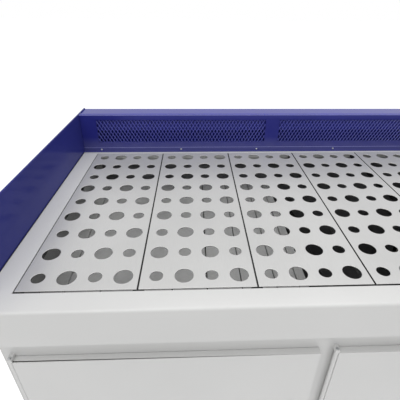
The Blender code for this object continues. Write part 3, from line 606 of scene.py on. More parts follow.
@dataclass(frozen=True)
class PowderCoat(Finish):
    """Baked polyester powder on sheet steel: an even colour with a faint orange peel and a clear gloss."""

    specular: float = 0.5
    peel_mm: float = 2.2
    peel_height_mm: float = 0.05
    cloud_mm: float = 320.0
    gloss_drift: float = 0.08
    # Painted light thrown back from the work surface: how much it lightens the foot, the heights over which
    # it fades, and its colour.
    dust: float = 0.0
    dust_z: Span = (0.938, 0.985)
    dust_colour: str = "#c4c4ce"

    def dusted(
        self, tree: bpy.types.NodeTree, place: bpy.types.NodeSocket, colour: bpy.types.NodeSocket
    ) -> bpy.types.NodeSocket:
        """Lighten the colour just above the work surface, fading out upwards: painted light thrown back from
        the work surface.

        Args:
            tree: The material's tree.
            place: The place on the surface.
            colour: The clean colour.

        Returns:
            The colour, lighter where the painted light falls.
        """
        height = add_node(tree, "ShaderNodeSeparateXYZ", {"Vector": place}).outputs["Z"]
        low, high = self.dust_z
        film = add_node(
            tree,
            "ShaderNodeMapRange",
            {"Value": height},
            {"From Min": low, "From Max": high, "To Min": self.dust, "To Max": 0.0},
        )
        lifted = add_node(
            tree,
            "ShaderNodeMix",
            {"Factor": film.outputs["Result"], MIX_FIRST: colour},
            {MIX_SECOND: linear(self.dust_colour)},
            data_type="RGBA",
        )
        return lifted.outputs[MIX_RESULT]

    def build(self) -> bpy.types.Material:
        """Build the coat, its colour clouded very slightly and its gloss broken by the orange peel.

        Returns:
            The material.
        """
        material, tree, shader, place = self.start({"Specular IOR Level": self.specular})
        # The film's thickness drifts over a hand's breadth, which the eye sees as a slow change of shade.
        cloud = add_node(
            tree,
            "ShaderNodeTexNoise",
            {"Vector": place},
            {"Scale": 1 / (self.cloud_mm * MM), "Detail": 2.0, "Roughness": 0.5},
        )
        stops = self.colour_stops(NOISE_SPAN)
        tint = add_node(tree, "ShaderNodeValToRGB", {"Fac": cloud.outputs["Fac"]}, stops=stops)
        colour = tint.outputs["Color"]
        if self.dust:
            colour = self.dusted(tree, place, colour)
        tree.links.new(colour, shader.inputs["Base Color"])
        # Orange peel: low waves about 2 mm apart, left where the powder flowed out in the oven.
        peel = add_node(
            tree,
            "ShaderNodeTexNoise",
            {"Vector": place},
            {"Scale": 1 / (self.peel_mm * MM), "Detail": 1.0, "Roughness": 0.4},
        )
        bump = add_node(
            tree,
            "ShaderNodeBump",
            {"Height": peel.outputs["Fac"]},
            {"Strength": 0.25, "Distance": self.peel_height_mm * MM},
        )
        tree.links.new(bump.outputs["Normal"], shader.inputs["Normal"])
        values = self.gloss_range(NOISE_SPAN, self.gloss_drift * self.roughness)
        gloss = add_node(tree, "ShaderNodeMapRange", {"Value": cloud.outputs["Fac"]}, values)
        tree.links.new(gloss.outputs["Result"], shader.inputs["Roughness"])
        return material


@dataclass(frozen=True)
class RolledSheet(Finish):
    """Bare sheet metal with a rolled grain: short streaks along one axis over a soft reflection."""

    metallic: float = 1.0
    grain_mm: float = 0.9
    streak: float = 40.0
    smear_mm: float = 250.0
    along: Axis = Axis.Y
    tone: Span = (0.12, 0.38)
    gloss_drift: float = 0.04

    def build(self) -> bpy.types.Material:
        """Build the sheet, its grain about 1 mm apart, coarser than the real 0.1 mm so that it shows.

        Returns:
            The material.
        """
        material, tree, shader, place = self.start({"Metallic": self.metallic})
        scale = [1 / (self.grain_mm * MM)] * 3
        scale[self.along.value] /= self.streak
        stretched = add_node(tree, "ShaderNodeMapping", {"Vector": place}, {"Scale": scale})
        grain = add_node(
            tree,
            "ShaderNodeTexNoise",
            {"Vector": stretched.outputs["Vector"]},
            {"Scale": 1.0, "Detail": 3.0, "Roughness": 0.6},
        )
        # Handling marks: broad faint clouds that break the evenness of the reflection.
        smear = add_node(
            tree, "ShaderNodeTexNoise", {"Vector": place}, {"Scale": 1 / (self.smear_mm * MM), "Detail": 3.0}
        )
        mixed = add_node(
            tree,
            "ShaderNodeMath",
            {0: grain.outputs["Fac"], 1: smear.outputs["Fac"]},
            operation="MULTIPLY",
        )
        stops = self.colour_stops(self.tone)
        tint = add_node(tree, "ShaderNodeValToRGB", {"Fac": mixed.outputs["Value"]}, stops=stops)
        tree.links.new(tint.outputs["Color"], shader.inputs["Base Color"])
        values = self.gloss_range(NOISE_SPAN, self.gloss_drift)
        gloss = add_node(tree, "ShaderNodeMapRange", {"Value": grain.outputs["Fac"]}, values)
        tree.links.new(gloss.outputs["Result"], shader.inputs["Roughness"])
        return material


@dataclass(frozen=True)
class Galvanised(Finish):
    """Hot-dip galvanised sheet: grey zinc crystals just under a centimetre across, over a dull shine."""

    roughness: float = 0.5
    metallic: float = 0.35
    spangle_mm: float = 9.0
    tone: Span = (0.15, 0.85)
    gloss_drift: float = 0.08

    def build(self) -> bpy.types.Material:
        """Build the sheet, each crystal a slightly different grey.

        Returns:
            The material.
        """
        material, tree, shader, place = self.start({"Metallic": self.metallic})
        crystal = add_node(
            tree,
            "ShaderNodeTexVoronoi",
            {"Vector": place},
            {"Scale": 1 / (self.spangle_mm * MM), "Randomness": 1.0},
        )
        grey = add_node(tree, "ShaderNodeRGBToBW", {"Color": crystal.outputs["Color"]})
        stops = self.colour_stops(self.tone)
        tint = add_node(tree, "ShaderNodeValToRGB", {"Fac": grey.outputs["Val"]}, stops=stops)
        tree.links.new(tint.outputs["Color"], shader.inputs["Base Color"])
        values = self.gloss_range((0.0, 1.0), self.gloss_drift)
        gloss = add_node(tree, "ShaderNodeMapRange", {"Value": grey.outputs["Val"]}, values)
        tree.links.new(gloss.outputs["Result"], shader.inputs["Roughness"])
        return material


@dataclass(frozen=True)
class Grained(Finish):
    """A solid colour with a fine moulded, cast or fibrous grain, such as plastic, foam, paper or enamel."""

    grain_mm: float
    height_mm: float
    coat: float = 0.0
    tone: Span = (0.35, 0.65)

    def build(self) -> bpy.types.Material:
        """Build the finish, with its grain in the colour and in the surface.

        Returns:
            The material.
        """
        material, tree, shader, place = self.start({"Roughness": self.roughness, "Coat Weight": self.coat})
        grain = add_node(
            tree,
            "ShaderNodeTexNoise",
            {"Vector": place},
            {"Scale": 1 / (self.grain_mm * MM), "Detail": 3.0, "Roughness": 0.6},
        )
        stops = self.colour_stops(self.tone)
        tint = add_node(tree, "ShaderNodeValToRGB", {"Fac": grain.outputs["Fac"]}, stops=stops)
        tree.links.new(tint.outputs["Color"], shader.inputs["Base Color"])
        bump = add_node(
            tree,
            "ShaderNodeBump",
            {"Height": grain.outputs["Fac"]},
            {"Strength": 0.5, "Distance": self.height_mm * MM},
        )
        tree.links.new(bump.outputs["Normal"], shader.inputs["Normal"])
        return material


class Finishes:
    """Every finish of the table, built once."""

    def __init__(self) -> None:
        """Build the finishes."""
        # White polyester powder, fine satin: a plain pale sheet with soft highlights on its bends.
        self.white = PowderCoat("white_powder_coat", "#d8d8d7", "#d4d4d3", 0.3).build()
        # Violet-blue polyester powder, full gloss: it mirrors the pale margins next to it.
        self.blue = PowderCoat("violet_blue_powder_coat", "#292c7e", "#262976", 0.16, specular=0.2).build()
        # The same powder on the plenum, lightened along its foot: painted light thrown back from the work
        # surface.
        self.dusty_blue = PowderCoat(
            "violet_blue_powder_coat_painted_bounce", "#292c7e", "#262976", 0.16, specular=0.2, dust=0.08
        ).build()
        # The side walls' powder, a touch lighter and a little less glossy.
        self.wall_blue = PowderCoat(
            "violet_blue_powder_coat_wall", "#313580", "#2e3279", 0.18, specular=0.1
        ).build()
        # Lighter copies of the same powder, as painted light: on the cap's and the face's upward folds, lit
        # from above, and on the narrow mesh strands, whose tilted faces catch the light.
        self.cap_blue = PowderCoat(
            "violet_powder_coat_painted_lit_top", "#292d9a", "#262a91", 0.18, specular=0.27
        ).build()
        self.mesh_blue = PowderCoat("violet_powder_coat_mesh_painted_light", "#4c50ac", "#4549a0", 0.3).build()
        # A pale violet painted highlight along the face's top front edge and the foot strip's top, so that
        # each reads as a light line.
        self.edge_blue = PowderCoat("violet_powder_coat_painted_highlight", "#8a8ccc", "#8083c4", 0.3).build()
        # A thin dark bead where the side walls meet the white top: painted shadow standing in for the gap
        # under each wall.
        self.sealant = Grained("dark_blue_painted_shadow_bead", "#15162e", "#101128", 0.4, 4.0, 0.1).build()
        # Stainless sheet with a dull rolled face: it takes on the tone of what stands around it.
        self.stainless = RolledSheet("stainless_sheet", "#cccccb", "#c2c2c1", 0.36, metallic=0.35).build()
        # The panels' hole walls and sides: near-black dull metal, painted shade in the holes and in the
        # seams between the bright faces.
        self.punched = RolledSheet("stainless_hole_wall_painted_shade", "#303030", "#242424", 0.6, streak=3.0).build()
        self.sheared = RolledSheet("stainless_side_painted_shade", "#181818", "#121212", 0.7, streak=3.0).build()
        # White protective film, left on the panels' undersides: it throws the light down on the trays.
        self.film = Grained("white_protective_film", "#fbfbfa", "#f7f7f6", 0.5, 20.0, 0.02).build()
        # Galvanised sheet of the chamber's trays, matt, near white as painted light: it stands in for light
        # reaching the deck through the holes.
        self.tray = Galvanised("galvanised_tray_painted_light", "#fdfdfc", "#f7f7f6", 0.55, metallic=0.0).build()
        # The partitions' galvanised sheet, with its grey spangle.
        self.galvanised = Galvanised("galvanised_sheet", "#a9acad", "#969a9c").build()
        # Zinc-plated steel: bright, slightly blue screws, rods and wheels.
        self.zinc = RolledSheet(
            "zinc_plated_steel", "#c9cbcc", "#b4b7b9", 0.3, grain_mm=1.5, streak=6.0
        ).build()
        # Black alkyd paint on rolled steel: semi-gloss with faint unevenness.
        self.black = Grained("black_paint", "#232425", "#1b1c1d", 0.42, 6.0, 0.05).build()
        # Grey lining sheets, painted shade: they make the shaded walls of the chamber and the middle bay
        # look nearly black.
        self.foam = Grained("grey_painted_shade_lining", "#7c7c7d", "#6a6a6b", 0.95, 3.0, 1.0).build()
        # Paler grey lining sheets on the chamber's ends, painted shade: a soft dark grey below the margins.
        self.pale_foam = Grained("pale_painted_shade_lining", "#bababa", "#a6a6a6", 0.95, 3.0, 1.0).build()
        # Grey machine enamel over cast and pressed steel: a little gloss over a slightly uneven casting.
        self.machine = Grained(
            "grey_machine_enamel", "#6d7276", "#666b6f", 0.35, 14.0, 0.05, coat=0.3
        ).build()
        # Filter paper: matt off-white fibres.
        self.paper = Grained("filter_paper", "#e3e0d4", "#d8d4c6", 0.9, 2.5, 0.15).build()
        # Moulded buttons, gauge case, latch grips and filter frames: even colour with a fine grain.
        self.green = Grained("green_moulded_plastic", "#1d7a3a", "#1a7035", 0.35, 5.0, 0.02).build()
        self.red = Grained("red_moulded_plastic", "#b3201c", "#a81d19", 0.35, 5.0, 0.02).build()
        self.moulded = Grained("black_moulded_plastic", "#1c1c1d", "#161617", 0.4, 2.0, 0.03).build()
        # Dial enamel: even warm white under the black printed marks.
        self.dial = Grained("white_dial_enamel", "#efefec", "#e9e9e6", 0.5, 8.0, 0.01).build()
        # Rubber seals under the deck's seams, matt black.
        self.rubber = Grained("black_rubber", "#191919", "#131313", 0.7, 3.0, 0.05).build()


# The table's parts


@dataclass
class SheetWork:
    """Every folded sheet and bar whose shape is the CAD's: its edges are rounded and its finish goes on."""

    finishes: Finishes
    plate: float = 4.0 * MM
    edge: float = 0.8 * MM
    plate_edge: float = 0.4 * MM
    rail: float = 21.0 * MM

    def groups(self) -> tuple[tuple[bpy.types.Material, str, tuple[str, ...]], ...]:
        """List the sheets.

        Returns:
            The finish, the record's slot and the nodes of each kind of sheet.
        """
        f = self.finishes
        both = ("left", "right")
        channels = tuple(f"base_channel_{i}" for i in range(1, 5))
        return (
            (f.dusty_blue, "blue_coat", ("plenum_face", "plenum_foot_strip")),
            (f.blue, "blue_coat", ("plenum_cover", "plenum_deflector")),
            (f.wall_blue, "blue_coat", tuple(f"side_wall_{side}" for side in both)),
            (f.white, "white_coat", ("top_frame", "cabinet_back", "cabinet_front", "cabinet_floor")),
            (f.white, "white_coat", tuple(f"cabinet_end_{side}" for side in both)),
            (f.white, "white_coat", tuple(f"exhaust_grille_{side}" for side in both)),
            (f.white, "white_coat", ("door_left", "door_centre", "door_right", "dust_drawer")),
            (f.galvanised, "galvanised", tuple(f"partition_{side}" for side in both)),
            (f.black, "black_paint", tuple(f"support_grid_{side}" for side in both)),
            (f.black, "black_paint", tuple(f"fan_stand_{side}" for side in both)),
            (f.black, "black_paint", (*channels, "switch_box", "gauge_needle")),
        )

    def finish_folds(self, piece: bpy.types.Object, node: str, low: Vector, high: Vector) -> None:
        """Paint light on the plenum's upward folds and a highlight on its top front edge and foot strip, and
        give the grid's rear rail the trays' finish.

        Args:
            piece: The dressed sheet.
            node: The CAD node that it stands for.
            low: Lowest corner of the sheet.
            high: Highest corner of the sheet.
        """
        f = self.finishes
        tops = {"plenum_foot_strip": f.edge_blue, "plenum_face": f.cap_blue, "plenum_cover": f.cap_blue}
        # A fold's rounding ends one edge width in, inside these bounds.
        fold, front = high.z - 2 * self.edge, low.y + 1.5 * self.edge
        rail = high.y - self.rail
        # Painted light on the upward folds, and a painted highlight on the foot strip's top.
        if node in tops:
            dress_faces(piece, tops[node], lambda middle, normal: middle.z > fold and normal.z > TIPPED)
        # A painted highlight along the face's top front edge.
        if node == "plenum_face":
            dress_faces(
                piece,
                f.edge_blue,
                lambda middle, normal: middle.z > fold and middle.y < front and normal.y < -TIPPED,
            )
        # The rear rail takes the trays' near-white finish, painted light included.
        if node.startswith("support_grid"):
            dress_faces(piece, f.tray, lambda middle, normal: middle.y > rail)

    def build(self) -> list[bpy.types.Object]:
        """Round and dress the sheets, each on the body of its node.

        Returns:
            The sheets.
        """
        bodies = {"dust_drawer": "drawer", "gauge_needle": "needle"}
        bodies |= {f"door_{name}": f"door_{name}" for name in ("left", "centre", "right")}
        made = []
        for material, slot, nodes in self.groups():
            for node in nodes:
                low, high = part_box(node)
                thin = min(high - low) < self.plate
                piece = from_node(node, self.plate_edge if thin else self.edge)
                made.append(dress(piece, material, bodies.get(node, TABLE_BODY), node))
                self.finish_folds(piece, node, low, high)
        return made


@dataclass
class WorkPanels:
    """The eight lift-out panels, each punched with large and small holes in turn."""

    finishes: Finishes
    count: int = 8
    pitch: float = 12 * INCH
    gap: float = 2.5 * MM
    columns: int = 4
    rows: int = 9
    pitch_x: float = 73.025 * MM
    pitch_y: float = 93.66 * MM
    large_r: float = 24.9 * MM
    small_r: float = 17.5 * MM
    sides: int = 48
    rollover: float = 1.1 * MM

    def punches(self, middle: Vector, thick: float) -> bpy.types.Object:
        """Set one rod for each hole.

        Args:
            middle: Middle of the panel's top face.
            thick: The panel's thickness.

        Returns:
            The joined rods.
        """
        rods = []
        for row in range(self.rows):
            for column in range(self.columns):
                x = middle.x + (column - (self.columns - 1) / 2) * self.pitch_x
                y = middle.y + ((self.rows - 1) / 2 - row) * self.pitch_y
                radius = self.large_r if (row + column) % 2 else self.small_r
                deselect_all()
                bpy.ops.mesh.primitive_cylinder_add(
                    vertices=self.sides, radius=radius, depth=4 * thick, location=(x, y, middle.z)
                )
                rods.append(bpy.context.view_layer.objects.active)
        made = join("panel_punches", rods)
        apply_place(made)
        return made

    def master(self) -> bpy.types.Object:
        """Punch the first panel and roll its edges over a little.

        Returns:
            The panel, bare.
        """
        low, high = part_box("work_panel_1")
        sheet = slab("panel_master", low, high)
        middle = (low + high) / 2
        middle.z = high.z
        punch_out(sheet, self.punches(middle, high.z - low.z))
        soften(sheet, self.rollover)
        return sheet

    def build(self) -> list[bpy.types.Object]:
        """Lay the panels, with painted shade on their sides and hole walls, darker than their faces.

        Returns:
            The panels.
        """
        f = self.finishes
        master = self.master()
        # Beyond this, out from a panel's middle, lie its rolled-over rim and its cut side.
        side = (self.pitch - self.gap) / 2 - 1.5 * self.rollover
        panels = []
        for i in range(self.count):
            panel = duplicate(master, f"work_panel_{i + 1}_punched", (i * self.pitch, 0, 0))
            dress(panel, f.stainless, f"panel_{i + 1}", f"work_panel_{i + 1}")
            centre = (i - (self.count - 1) / 2) * self.pitch
            # Dark hole walls and sides: painted shade in the holes and in the seams between panels.
            dress_faces(panel, f.punched, lambda middle, normal: abs(normal.z) < TIPPED)
            dress_faces(
                panel,
                f.sheared,
                lambda middle, normal: abs(normal.z) < SQUARE and abs(middle.x - centre) > side,
            )
            dress_faces(panel, f.film, lambda middle, normal: normal.z < -SQUARE)
            panels.append(panel)
        bpy.data.objects.remove(master)
        return panels


@dataclass
class ExpandedMesh:
    """Expanded-metal screens behind the plenum's windows: staggered upright diamonds of tilted strands."""

    finishes: Finishes
    pitch_x: float = 15.9 * MM
    pitch_z: float = 28.0 * MM
    strand: float = 4.6 * MM
    depth: float = 0.8 * MM
    tilt: float = 2.1 * MM

    def zigzag(self, x: float, y: float, z: float, columns: int) -> bpy.types.Object:
        """Make one zigzag strand along the window.

        Args:
            x: Left end.
            y: Middle of the screen's thickness.
            z: Height of the zigzag's middle.
            columns: Number of diamonds.

        Returns:
            The strand, which leans back at its upper edge as a stretched slit does.
        """
        half = self.pitch_x / 2
        low = (x, y - self.depth / 2, z - self.strand / 2)
        strip = slab("strand", low, (x + half, y + self.depth / 2, z + self.strand / 2))
        delete_faces(strip, lambda middle, normal: abs(normal.x) > FACING)
        select_points(strip, lambda p: p.z > z)
        bpy.ops.transform.translate(value=(0, self.tilt, 0))
        leave_edit()
        for place, lift in ((x, -self.pitch_z / 4), (x + half, self.pitch_z / 4)):
            select_points(strip, lambda p, place=place: abs(p.x - place) < NEAR)
            bpy.ops.transform.translate(value=(0, 0, lift))
            leave_edit()
        back = duplicate(strip, "strand_back")
        back.scale.x = -1
        back.location.x = 2 * (x + half)
        apply_place(back)
        made = join("strand_pair", [strip, back])
        repeat(made, columns, (self.pitch_x, 0, 0))
        return made

    def screen(self, side: str) -> bpy.types.Object:
        """Fill one window.

        Args:
            side: left, centre or right.

        Returns:
            The screen, cut to the CAD screen's outline.
        """
        node = f"mesh_screen_{side}"
        low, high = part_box(node)
        columns = math.ceil((high.x - low.x) / self.pitch_x)
        rows = math.ceil((high.z - low.z) / self.pitch_z) + 1
        y = (low.y + high.y - self.tilt) / 2
        strands = [
            self.zigzag(low.x, y, low.z, columns),
            self.zigzag(low.x - self.pitch_x / 2, y, low.z + self.pitch_z / 2, columns + 1),
        ]
        for strand in strands:
            repeat(strand, rows, (0, 0, self.pitch_z))
        made = join(f"{node}_expanded", strands)
        cuts = ((low, (-1, 0, 0)), (low, (0, 0, -1)), (high, (1, 0, 0)), (high, (0, 0, 1)))
        for plane, normal in cuts:
            enter_edit(made)
            bpy.ops.mesh.bisect(plane_co=plane, plane_no=normal, use_fill=True, clear_outer=True)
            leave_edit()
        merge_and_face_out(made)
        # The strands take a lighter copy of the powder: painted light where their tilted faces catch it.
        return dress(made, self.finishes.mesh_blue, TABLE_BODY, node)

    def build(self) -> list[bpy.types.Object]:
        """Fill the three windows."""
        return [self.screen(side) for side in ("left", "centre", "right")]


@dataclass
class Sealant:
    """Dark beads where the side walls stand on the white top: painted shadow for the gap under each wall."""

    finishes: Finishes
    width: float = 2.4 * MM
    height: float = 2.2 * MM
    front: float = 2.0 * MM
    gap: float = 0.2 * MM

    def build(self) -> list[bpy.types.Object]:
        """Run both beads and round them.

        Returns:
            The beads.
        """
        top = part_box("top_frame")[1].z + self.gap
        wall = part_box("side_wall_right")[0]
        front = wall.y + self.front
        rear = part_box("plenum_foot_strip")[0].y - self.gap
        edge = wall.x - self.gap
        made = []
        for name, side in SIDES.items():
            left, right = sorted((side * (edge - self.width), side * edge))
            bead = slab(f"bead_{name}", (left, front, top), (right, rear, top + self.height))
            soften(bead, self.height / 3, segments=3)
            made.append(dress(bead, self.finishes.sealant))
        return made


@dataclass
class AirChamber:
    """The pale tray deck with its dark seams, and the grey lining sheets of painted shade on the walls round
    it.
    """

    finishes: Finishes
    first_seam: float = 82.1 * MM
    strip: float = 117.0 * MM
    strips: int = 7
    lip_seam: float = 32.0 * MM
    seam: float = 4.0 * MM
    sheet: float = 1.5 * MM
    flange: float = 14.0 * MM
    seal: float = 1.0 * MM
    edge: float = 0.6 * MM
    foam: float = 6.0 * MM
    foam_edge: float = 2.0 * MM
    foam_joint: float = 1.0 * MM
    bare_corner: Span = (34.0 * MM, 235.0 * MM)
    clear: float = 2.0 * MM
    floor_clear: float = 3.4 * MM
    gap: float = 0.4 * MM
    plenum_rise: float = 50.0 * MM
    bay_half: float = 404.0 * MM
    drawer_rear: float = 160.0 * MM

    def deck(self, name: str, side: int) -> list[bpy.types.Object]:
        """Lay the trays of one side, their edges flanged down, over black seals.

        Args:
            name: left or right.
            side: -1 or 1.

        Returns:
            The trays and the seals.
        """
        node = f"chamber_deck_{name}"
        low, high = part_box(node)
        outer, inner = (low.x, high.x) if side < 0 else (high.x, low.x)
        cuts = [outer]
        cuts += [outer - side * (self.first_seam + i * self.strip) for i in range(self.strips)]
        cuts += [inner + side * self.lip_seam, inner]
        trays, seals = [], []
        for start, end in zip(cuts, cuts[1:]):
            left, right = sorted((start, end))
            left += self.seam / 2 if left > low.x else 0
            right -= self.seam / 2 if right < high.x else 0
            tray = slab("tray", (left, low.y, high.z - self.flange), (right, high.y, high.z))
            delete_faces(tray, lambda middle, normal: normal.z < -FACING)
            thicken(tray, self.sheet)
            soften(tray, self.edge)
            trays.append(tray)
        half = self.seam / 2 - self.gap
        top = high.z - self.flange / 2
        for cut in cuts[1:-1]:
            seal = slab("seal", (cut - half, low.y, top - self.seal), (cut + half, high.y, top))
            soften(seal, self.edge / 2)
            seals.append(seal)
        deck = dress(join(f"{node}_trays", trays), self.finishes.tray, TABLE_BODY, node)
        strips = dress(join(f"{node}_seals", seals), self.finishes.rubber, TABLE_BODY)
        return [deck, strips]

    def lining(self) -> list[bpy.types.Object]:
        """Line the ends and the back above the deck, and the middle bay below it, with sheets of painted
        shade.

        Returns:
            The lining sheets.
        """
        low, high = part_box("chamber_deck_left")
        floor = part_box("cabinet_floor")[0].z + self.floor_clear
        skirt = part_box("side_wall_left")[0].z - self.clear
        left, rear, front = low.x, high.y, low.y + self.clear
        above, below = high.z + self.gap, low.z - self.clear
        bay, thick, pale, grey = self.bay_half, self.foam, self.finishes.pale_foam, self.finishes.foam
        inset, reach = self.bare_corner
        top = skirt + self.plenum_rise
        sheets = (
            ("end_left", pale, (left, front, above), (left + thick, rear - reach, skirt)),
            ("end_right", pale, (-left - thick, front, above), (-left, rear - reach, skirt)),
            ("rear", grey, (left + inset, rear - thick, above), (-left - inset, rear, top)),
            ("bay_rear", grey, (-bay, rear - thick, floor + thick + self.foam_joint), (bay, rear, below)),
            ("bay_floor", grey, (-bay, self.drawer_rear, floor), (bay, rear, floor + thick)),
        )
        made = []
        for name, material, start, end in sheets:
            sheet = slab(f"foam_{name}", start, end)
            soften(sheet, self.foam_edge, segments=3)
            made.append(dress(sheet, material))
        return made

    def build(self) -> list[bpy.types.Object]:
        """Line the chamber and lay the deck.

        Returns:
            The lining, the trays and the seals.
        """
        made = self.lining()
        for name, side in SIDES.items():
            made += self.deck(name, side)
        return made


@dataclass
class Filters:
    """The two pleated filters, paper packs in black moulded frames."""

    finishes: Finishes
    rail: float = 18.0 * MM
    pleats: int = 34
    paper: float = 1.2 * MM
    inset: float = 9.0 * MM
    corner: float = 1.5 * MM

    def pack(self, name: str, low: Vector, high: Vector) -> bpy.types.Object:
        """Fold the paper between the frame's rails.

        Args:
            name: Name of the pack.
            low: Lowest corner of the filter.
            high: Highest corner of the filter.

        Returns:
            The folded paper.
        """
        start, end = low.y + self.rail, high.y - self.rail
        folds = 2 * self.pleats
        places = (low.x + self.inset, high.x - self.inset)
        front = [(places[i % 2], start + i * (end - start) / folds) for i in range(folds + 1)]
        back = [(x + self.paper, y) for x, y in reversed(front)]
        return drawn(name, front + back, Axis.Z, low.z + self.rail, high.z - self.rail)

    def frame(self, name: str, low: Vector, high: Vector) -> bpy.types.Object:
        """Join four rails round the pack.

        Args:
            name: Name of the frame.
            low: Lowest corner of the filter.
            high: Highest corner of the filter.

        Returns:
            The frame.
        """
        r = self.rail
        rails = [
            slab("rail", (low.x, low.y, low.z), (high.x, high.y, low.z + r)),
            slab("rail", (low.x, low.y, high.z - r), (high.x, high.y, high.z)),
            slab("rail", (low.x, low.y, low.z + r), (high.x, low.y + r, high.z - r)),
            slab("rail", (low.x, high.y - r, low.z + r), (high.x, high.y, high.z - r)),
        ]
        for rail in rails:
            soften(rail, self.corner)
        return join(name, rails)

    def build(self) -> list[bpy.types.Object]:
        """Make both filters.

        Returns:
            The pack and the frame of each.
        """
        f = self.finishes
        made = []
        for name in SIDES:
            node = f"filter_{name}"
            low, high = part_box(node)
            pack = self.pack(f"{node}_pleats", low, high)
            made.append(dress(pack, f.paper, TABLE_BODY, node))
            # Black frames, so that the middle bay reads dark from above: painted shade.
            frame = self.frame(f"{node}_frame", low, high)
            made.append(dress(frame, f.moulded, TABLE_BODY))
        return made


@dataclass
class FanSets:
    """Both fans: a scroll housing with a flared inlet, a curved-blade wheel and a finned motor."""

    finishes: Finishes
    centre: Span = (20.0 * MM, 400.0 * MM)
    middle_x: float = 740.0 * MM
    width: float = 200.0 * MM
    scroll_start: float = 20.0
    scroll_sweep: float = 290.0
    scroll_r: Span = (172.0 * MM, 268.0 * MM)
    scroll_steps: int = 48
    outlet_low: float = 60.0 * MM
    outlet_y: float = 522.7 * MM
    sheet: float = 2.0 * MM
    sheet_edge: float = 0.5 * MM
    inlet_r: float = 105.0 * MM
    punch_half: float = 10.0 * MM
    punch_sides: int = 48
    sides: int = 64
    shaft_hole_r: float = 18.0 * MM
    shaft_r: float = 12.0 * MM
    shaft_past: float = 40.0 * MM
    wheel_r: float = 150.0 * MM
    wheel_back: float = 70.0 * MM
    wheel_width: float = 110.0 * MM
    back_plate: float = 3.0 * MM
    blades: int = 8
    blade_r: Span = (100.0 * MM, 146.0 * MM)
    blade_lean: float = 32.0
    blade_curve: float = 1.3
    blade_steps: int = 8
    blade_bite: float = 1.0 * MM
    motor_gap: float = 20.0 * MM
    motor_length: float = 240.0 * MM
    motor_r: float = 88.0 * MM
    motor_edge: float = 2.5 * MM
    cowl: float = 60.0 * MM
    fins: int = 30
    fin_depth: float = 8.0 * MM
    fin_ends: Span = (24.0 * MM, 1.0 * MM)
    foot_ends: Span = (40.0 * MM, 18.0 * MM)

    def round_place(self, radius: float, angle: float) -> Span:
        """Place a point round the shaft's axis."""
        return (self.centre[0] + radius * math.cos(angle), self.centre[1] + radius * math.sin(angle))

    def housing(self, name: str, side: int) -> bpy.types.Object:
        """Roll the scroll and flare its inlet.

        Args:
            name: left or right.
            side: -1 or 1.

        Returns:
            The housing, open at its outlet.
        """
        z = self.centre[1]
        small, large = self.scroll_r
        points = []
        for i in range(self.scroll_steps + 1):
            share = i / self.scroll_steps
            angle = math.radians(self.scroll_start - self.scroll_sweep * share)
            points.append(self.round_place(small + (large - small) * share, angle))
        points += [(self.outlet_y, z + large), (self.outlet_y, z + self.outlet_low)]
        inner = side * (self.middle_x - self.width / 2)
        outer = side * (self.middle_x + self.width / 2)
        shell = drawn("scroll", points, Axis.X, inner, outer)
        delete_faces(shell, lambda middle, normal: middle.y > self.outlet_y - NEAR)
        thicken(shell, self.sheet)
        for place, radius in ((inner, self.inlet_r), (outer, self.shaft_hole_r)):
            near, far = place - self.punch_half, place + self.punch_half
            rod = ((near, 0), (near, radius), (far, radius), (far, 0))
            punch_out(shell, turned("punch", rod, Axis.X, self.centre, self.punch_sides))
        soften(shell, self.sheet_edge)
        # The flared lip's place from the inlet's face, and how far it stands outside the inlet's radius.
        lip = ((-0.5, 22), (-2.5, 22), (-4.5, 8), (-2.5, 2), (6, -2), (6, -1), (-0.5, 4))
        profile = section(inner, side, lip, self.inlet_r)
        flare = turned("flare", profile, Axis.X, self.centre, self.sides)
        return join(f"blower_housing_{name}_scroll", [shell, flare])

    def blade(self, turn: float, start: float, end: float) -> bpy.types.Object:
        """Roll one blade, which leans back more and more towards its tip.

        Args:
            turn: Angle of its root round the shaft.
            start: Its front edge.
            end: Its rear edge.

        Returns:
            The blade.
        """
        low_r, high_r = self.blade_r
        faces = []
        for inset in (0.0, self.sheet):
            face = []
            for k in range(self.blade_steps + 1):
                share = k / self.blade_steps
                radius = low_r + (high_r - low_r) * share
                lean = math.radians(self.blade_lean) * share**self.blade_curve
                face.append(self.round_place(radius, turn + lean + inset / radius))
            faces.append(face)
        made = drawn("blade", faces[0] + faces[1][::-1], Axis.X, start, end)
        smooth(made)
        return made

    def wheel(self, name: str, side: int) -> bpy.types.Object:
        """Set curved blades between the wheel's back plate and its front ring.

        Args:
            name: left or right.
            side: -1 or 1.

        Returns:
            The wheel with its hub and shaft.
        """
        back = side * (self.middle_x + self.wheel_back)
        front = back - side * self.wheel_width
        rim, shaft, plate = self.wheel_r / MM, self.shaft_r / MM, -self.back_plate / MM
        tip = (self.width / 2 + self.shaft_past - self.wheel_back) / MM
        hub = ((-30, 0), (-30, 20), (-27, 24), (plate - 3, 27), (plate, 33), (plate, rim))
        hub += ((0, rim), (0, shaft), (tip, shaft), (tip, 0))
        ring = ((7, 108), (5, 108), (0, 118), (0, rim), (2, rim), (2, 119))
        parts = [
            turned(part, section(start, side, points), Axis.X, self.centre, self.sides)
            for part, start, points in (("hub", back, hub), ("ring", front, ring))
        ]
        start = front + side * self.blade_bite
        end = back - side * (self.back_plate - self.blade_bite)
        for i in range(self.blades):
            parts.append(self.blade(2 * math.pi * i / self.blades, start, end))
        return join(f"blower_wheel_{name}_bladed", parts)

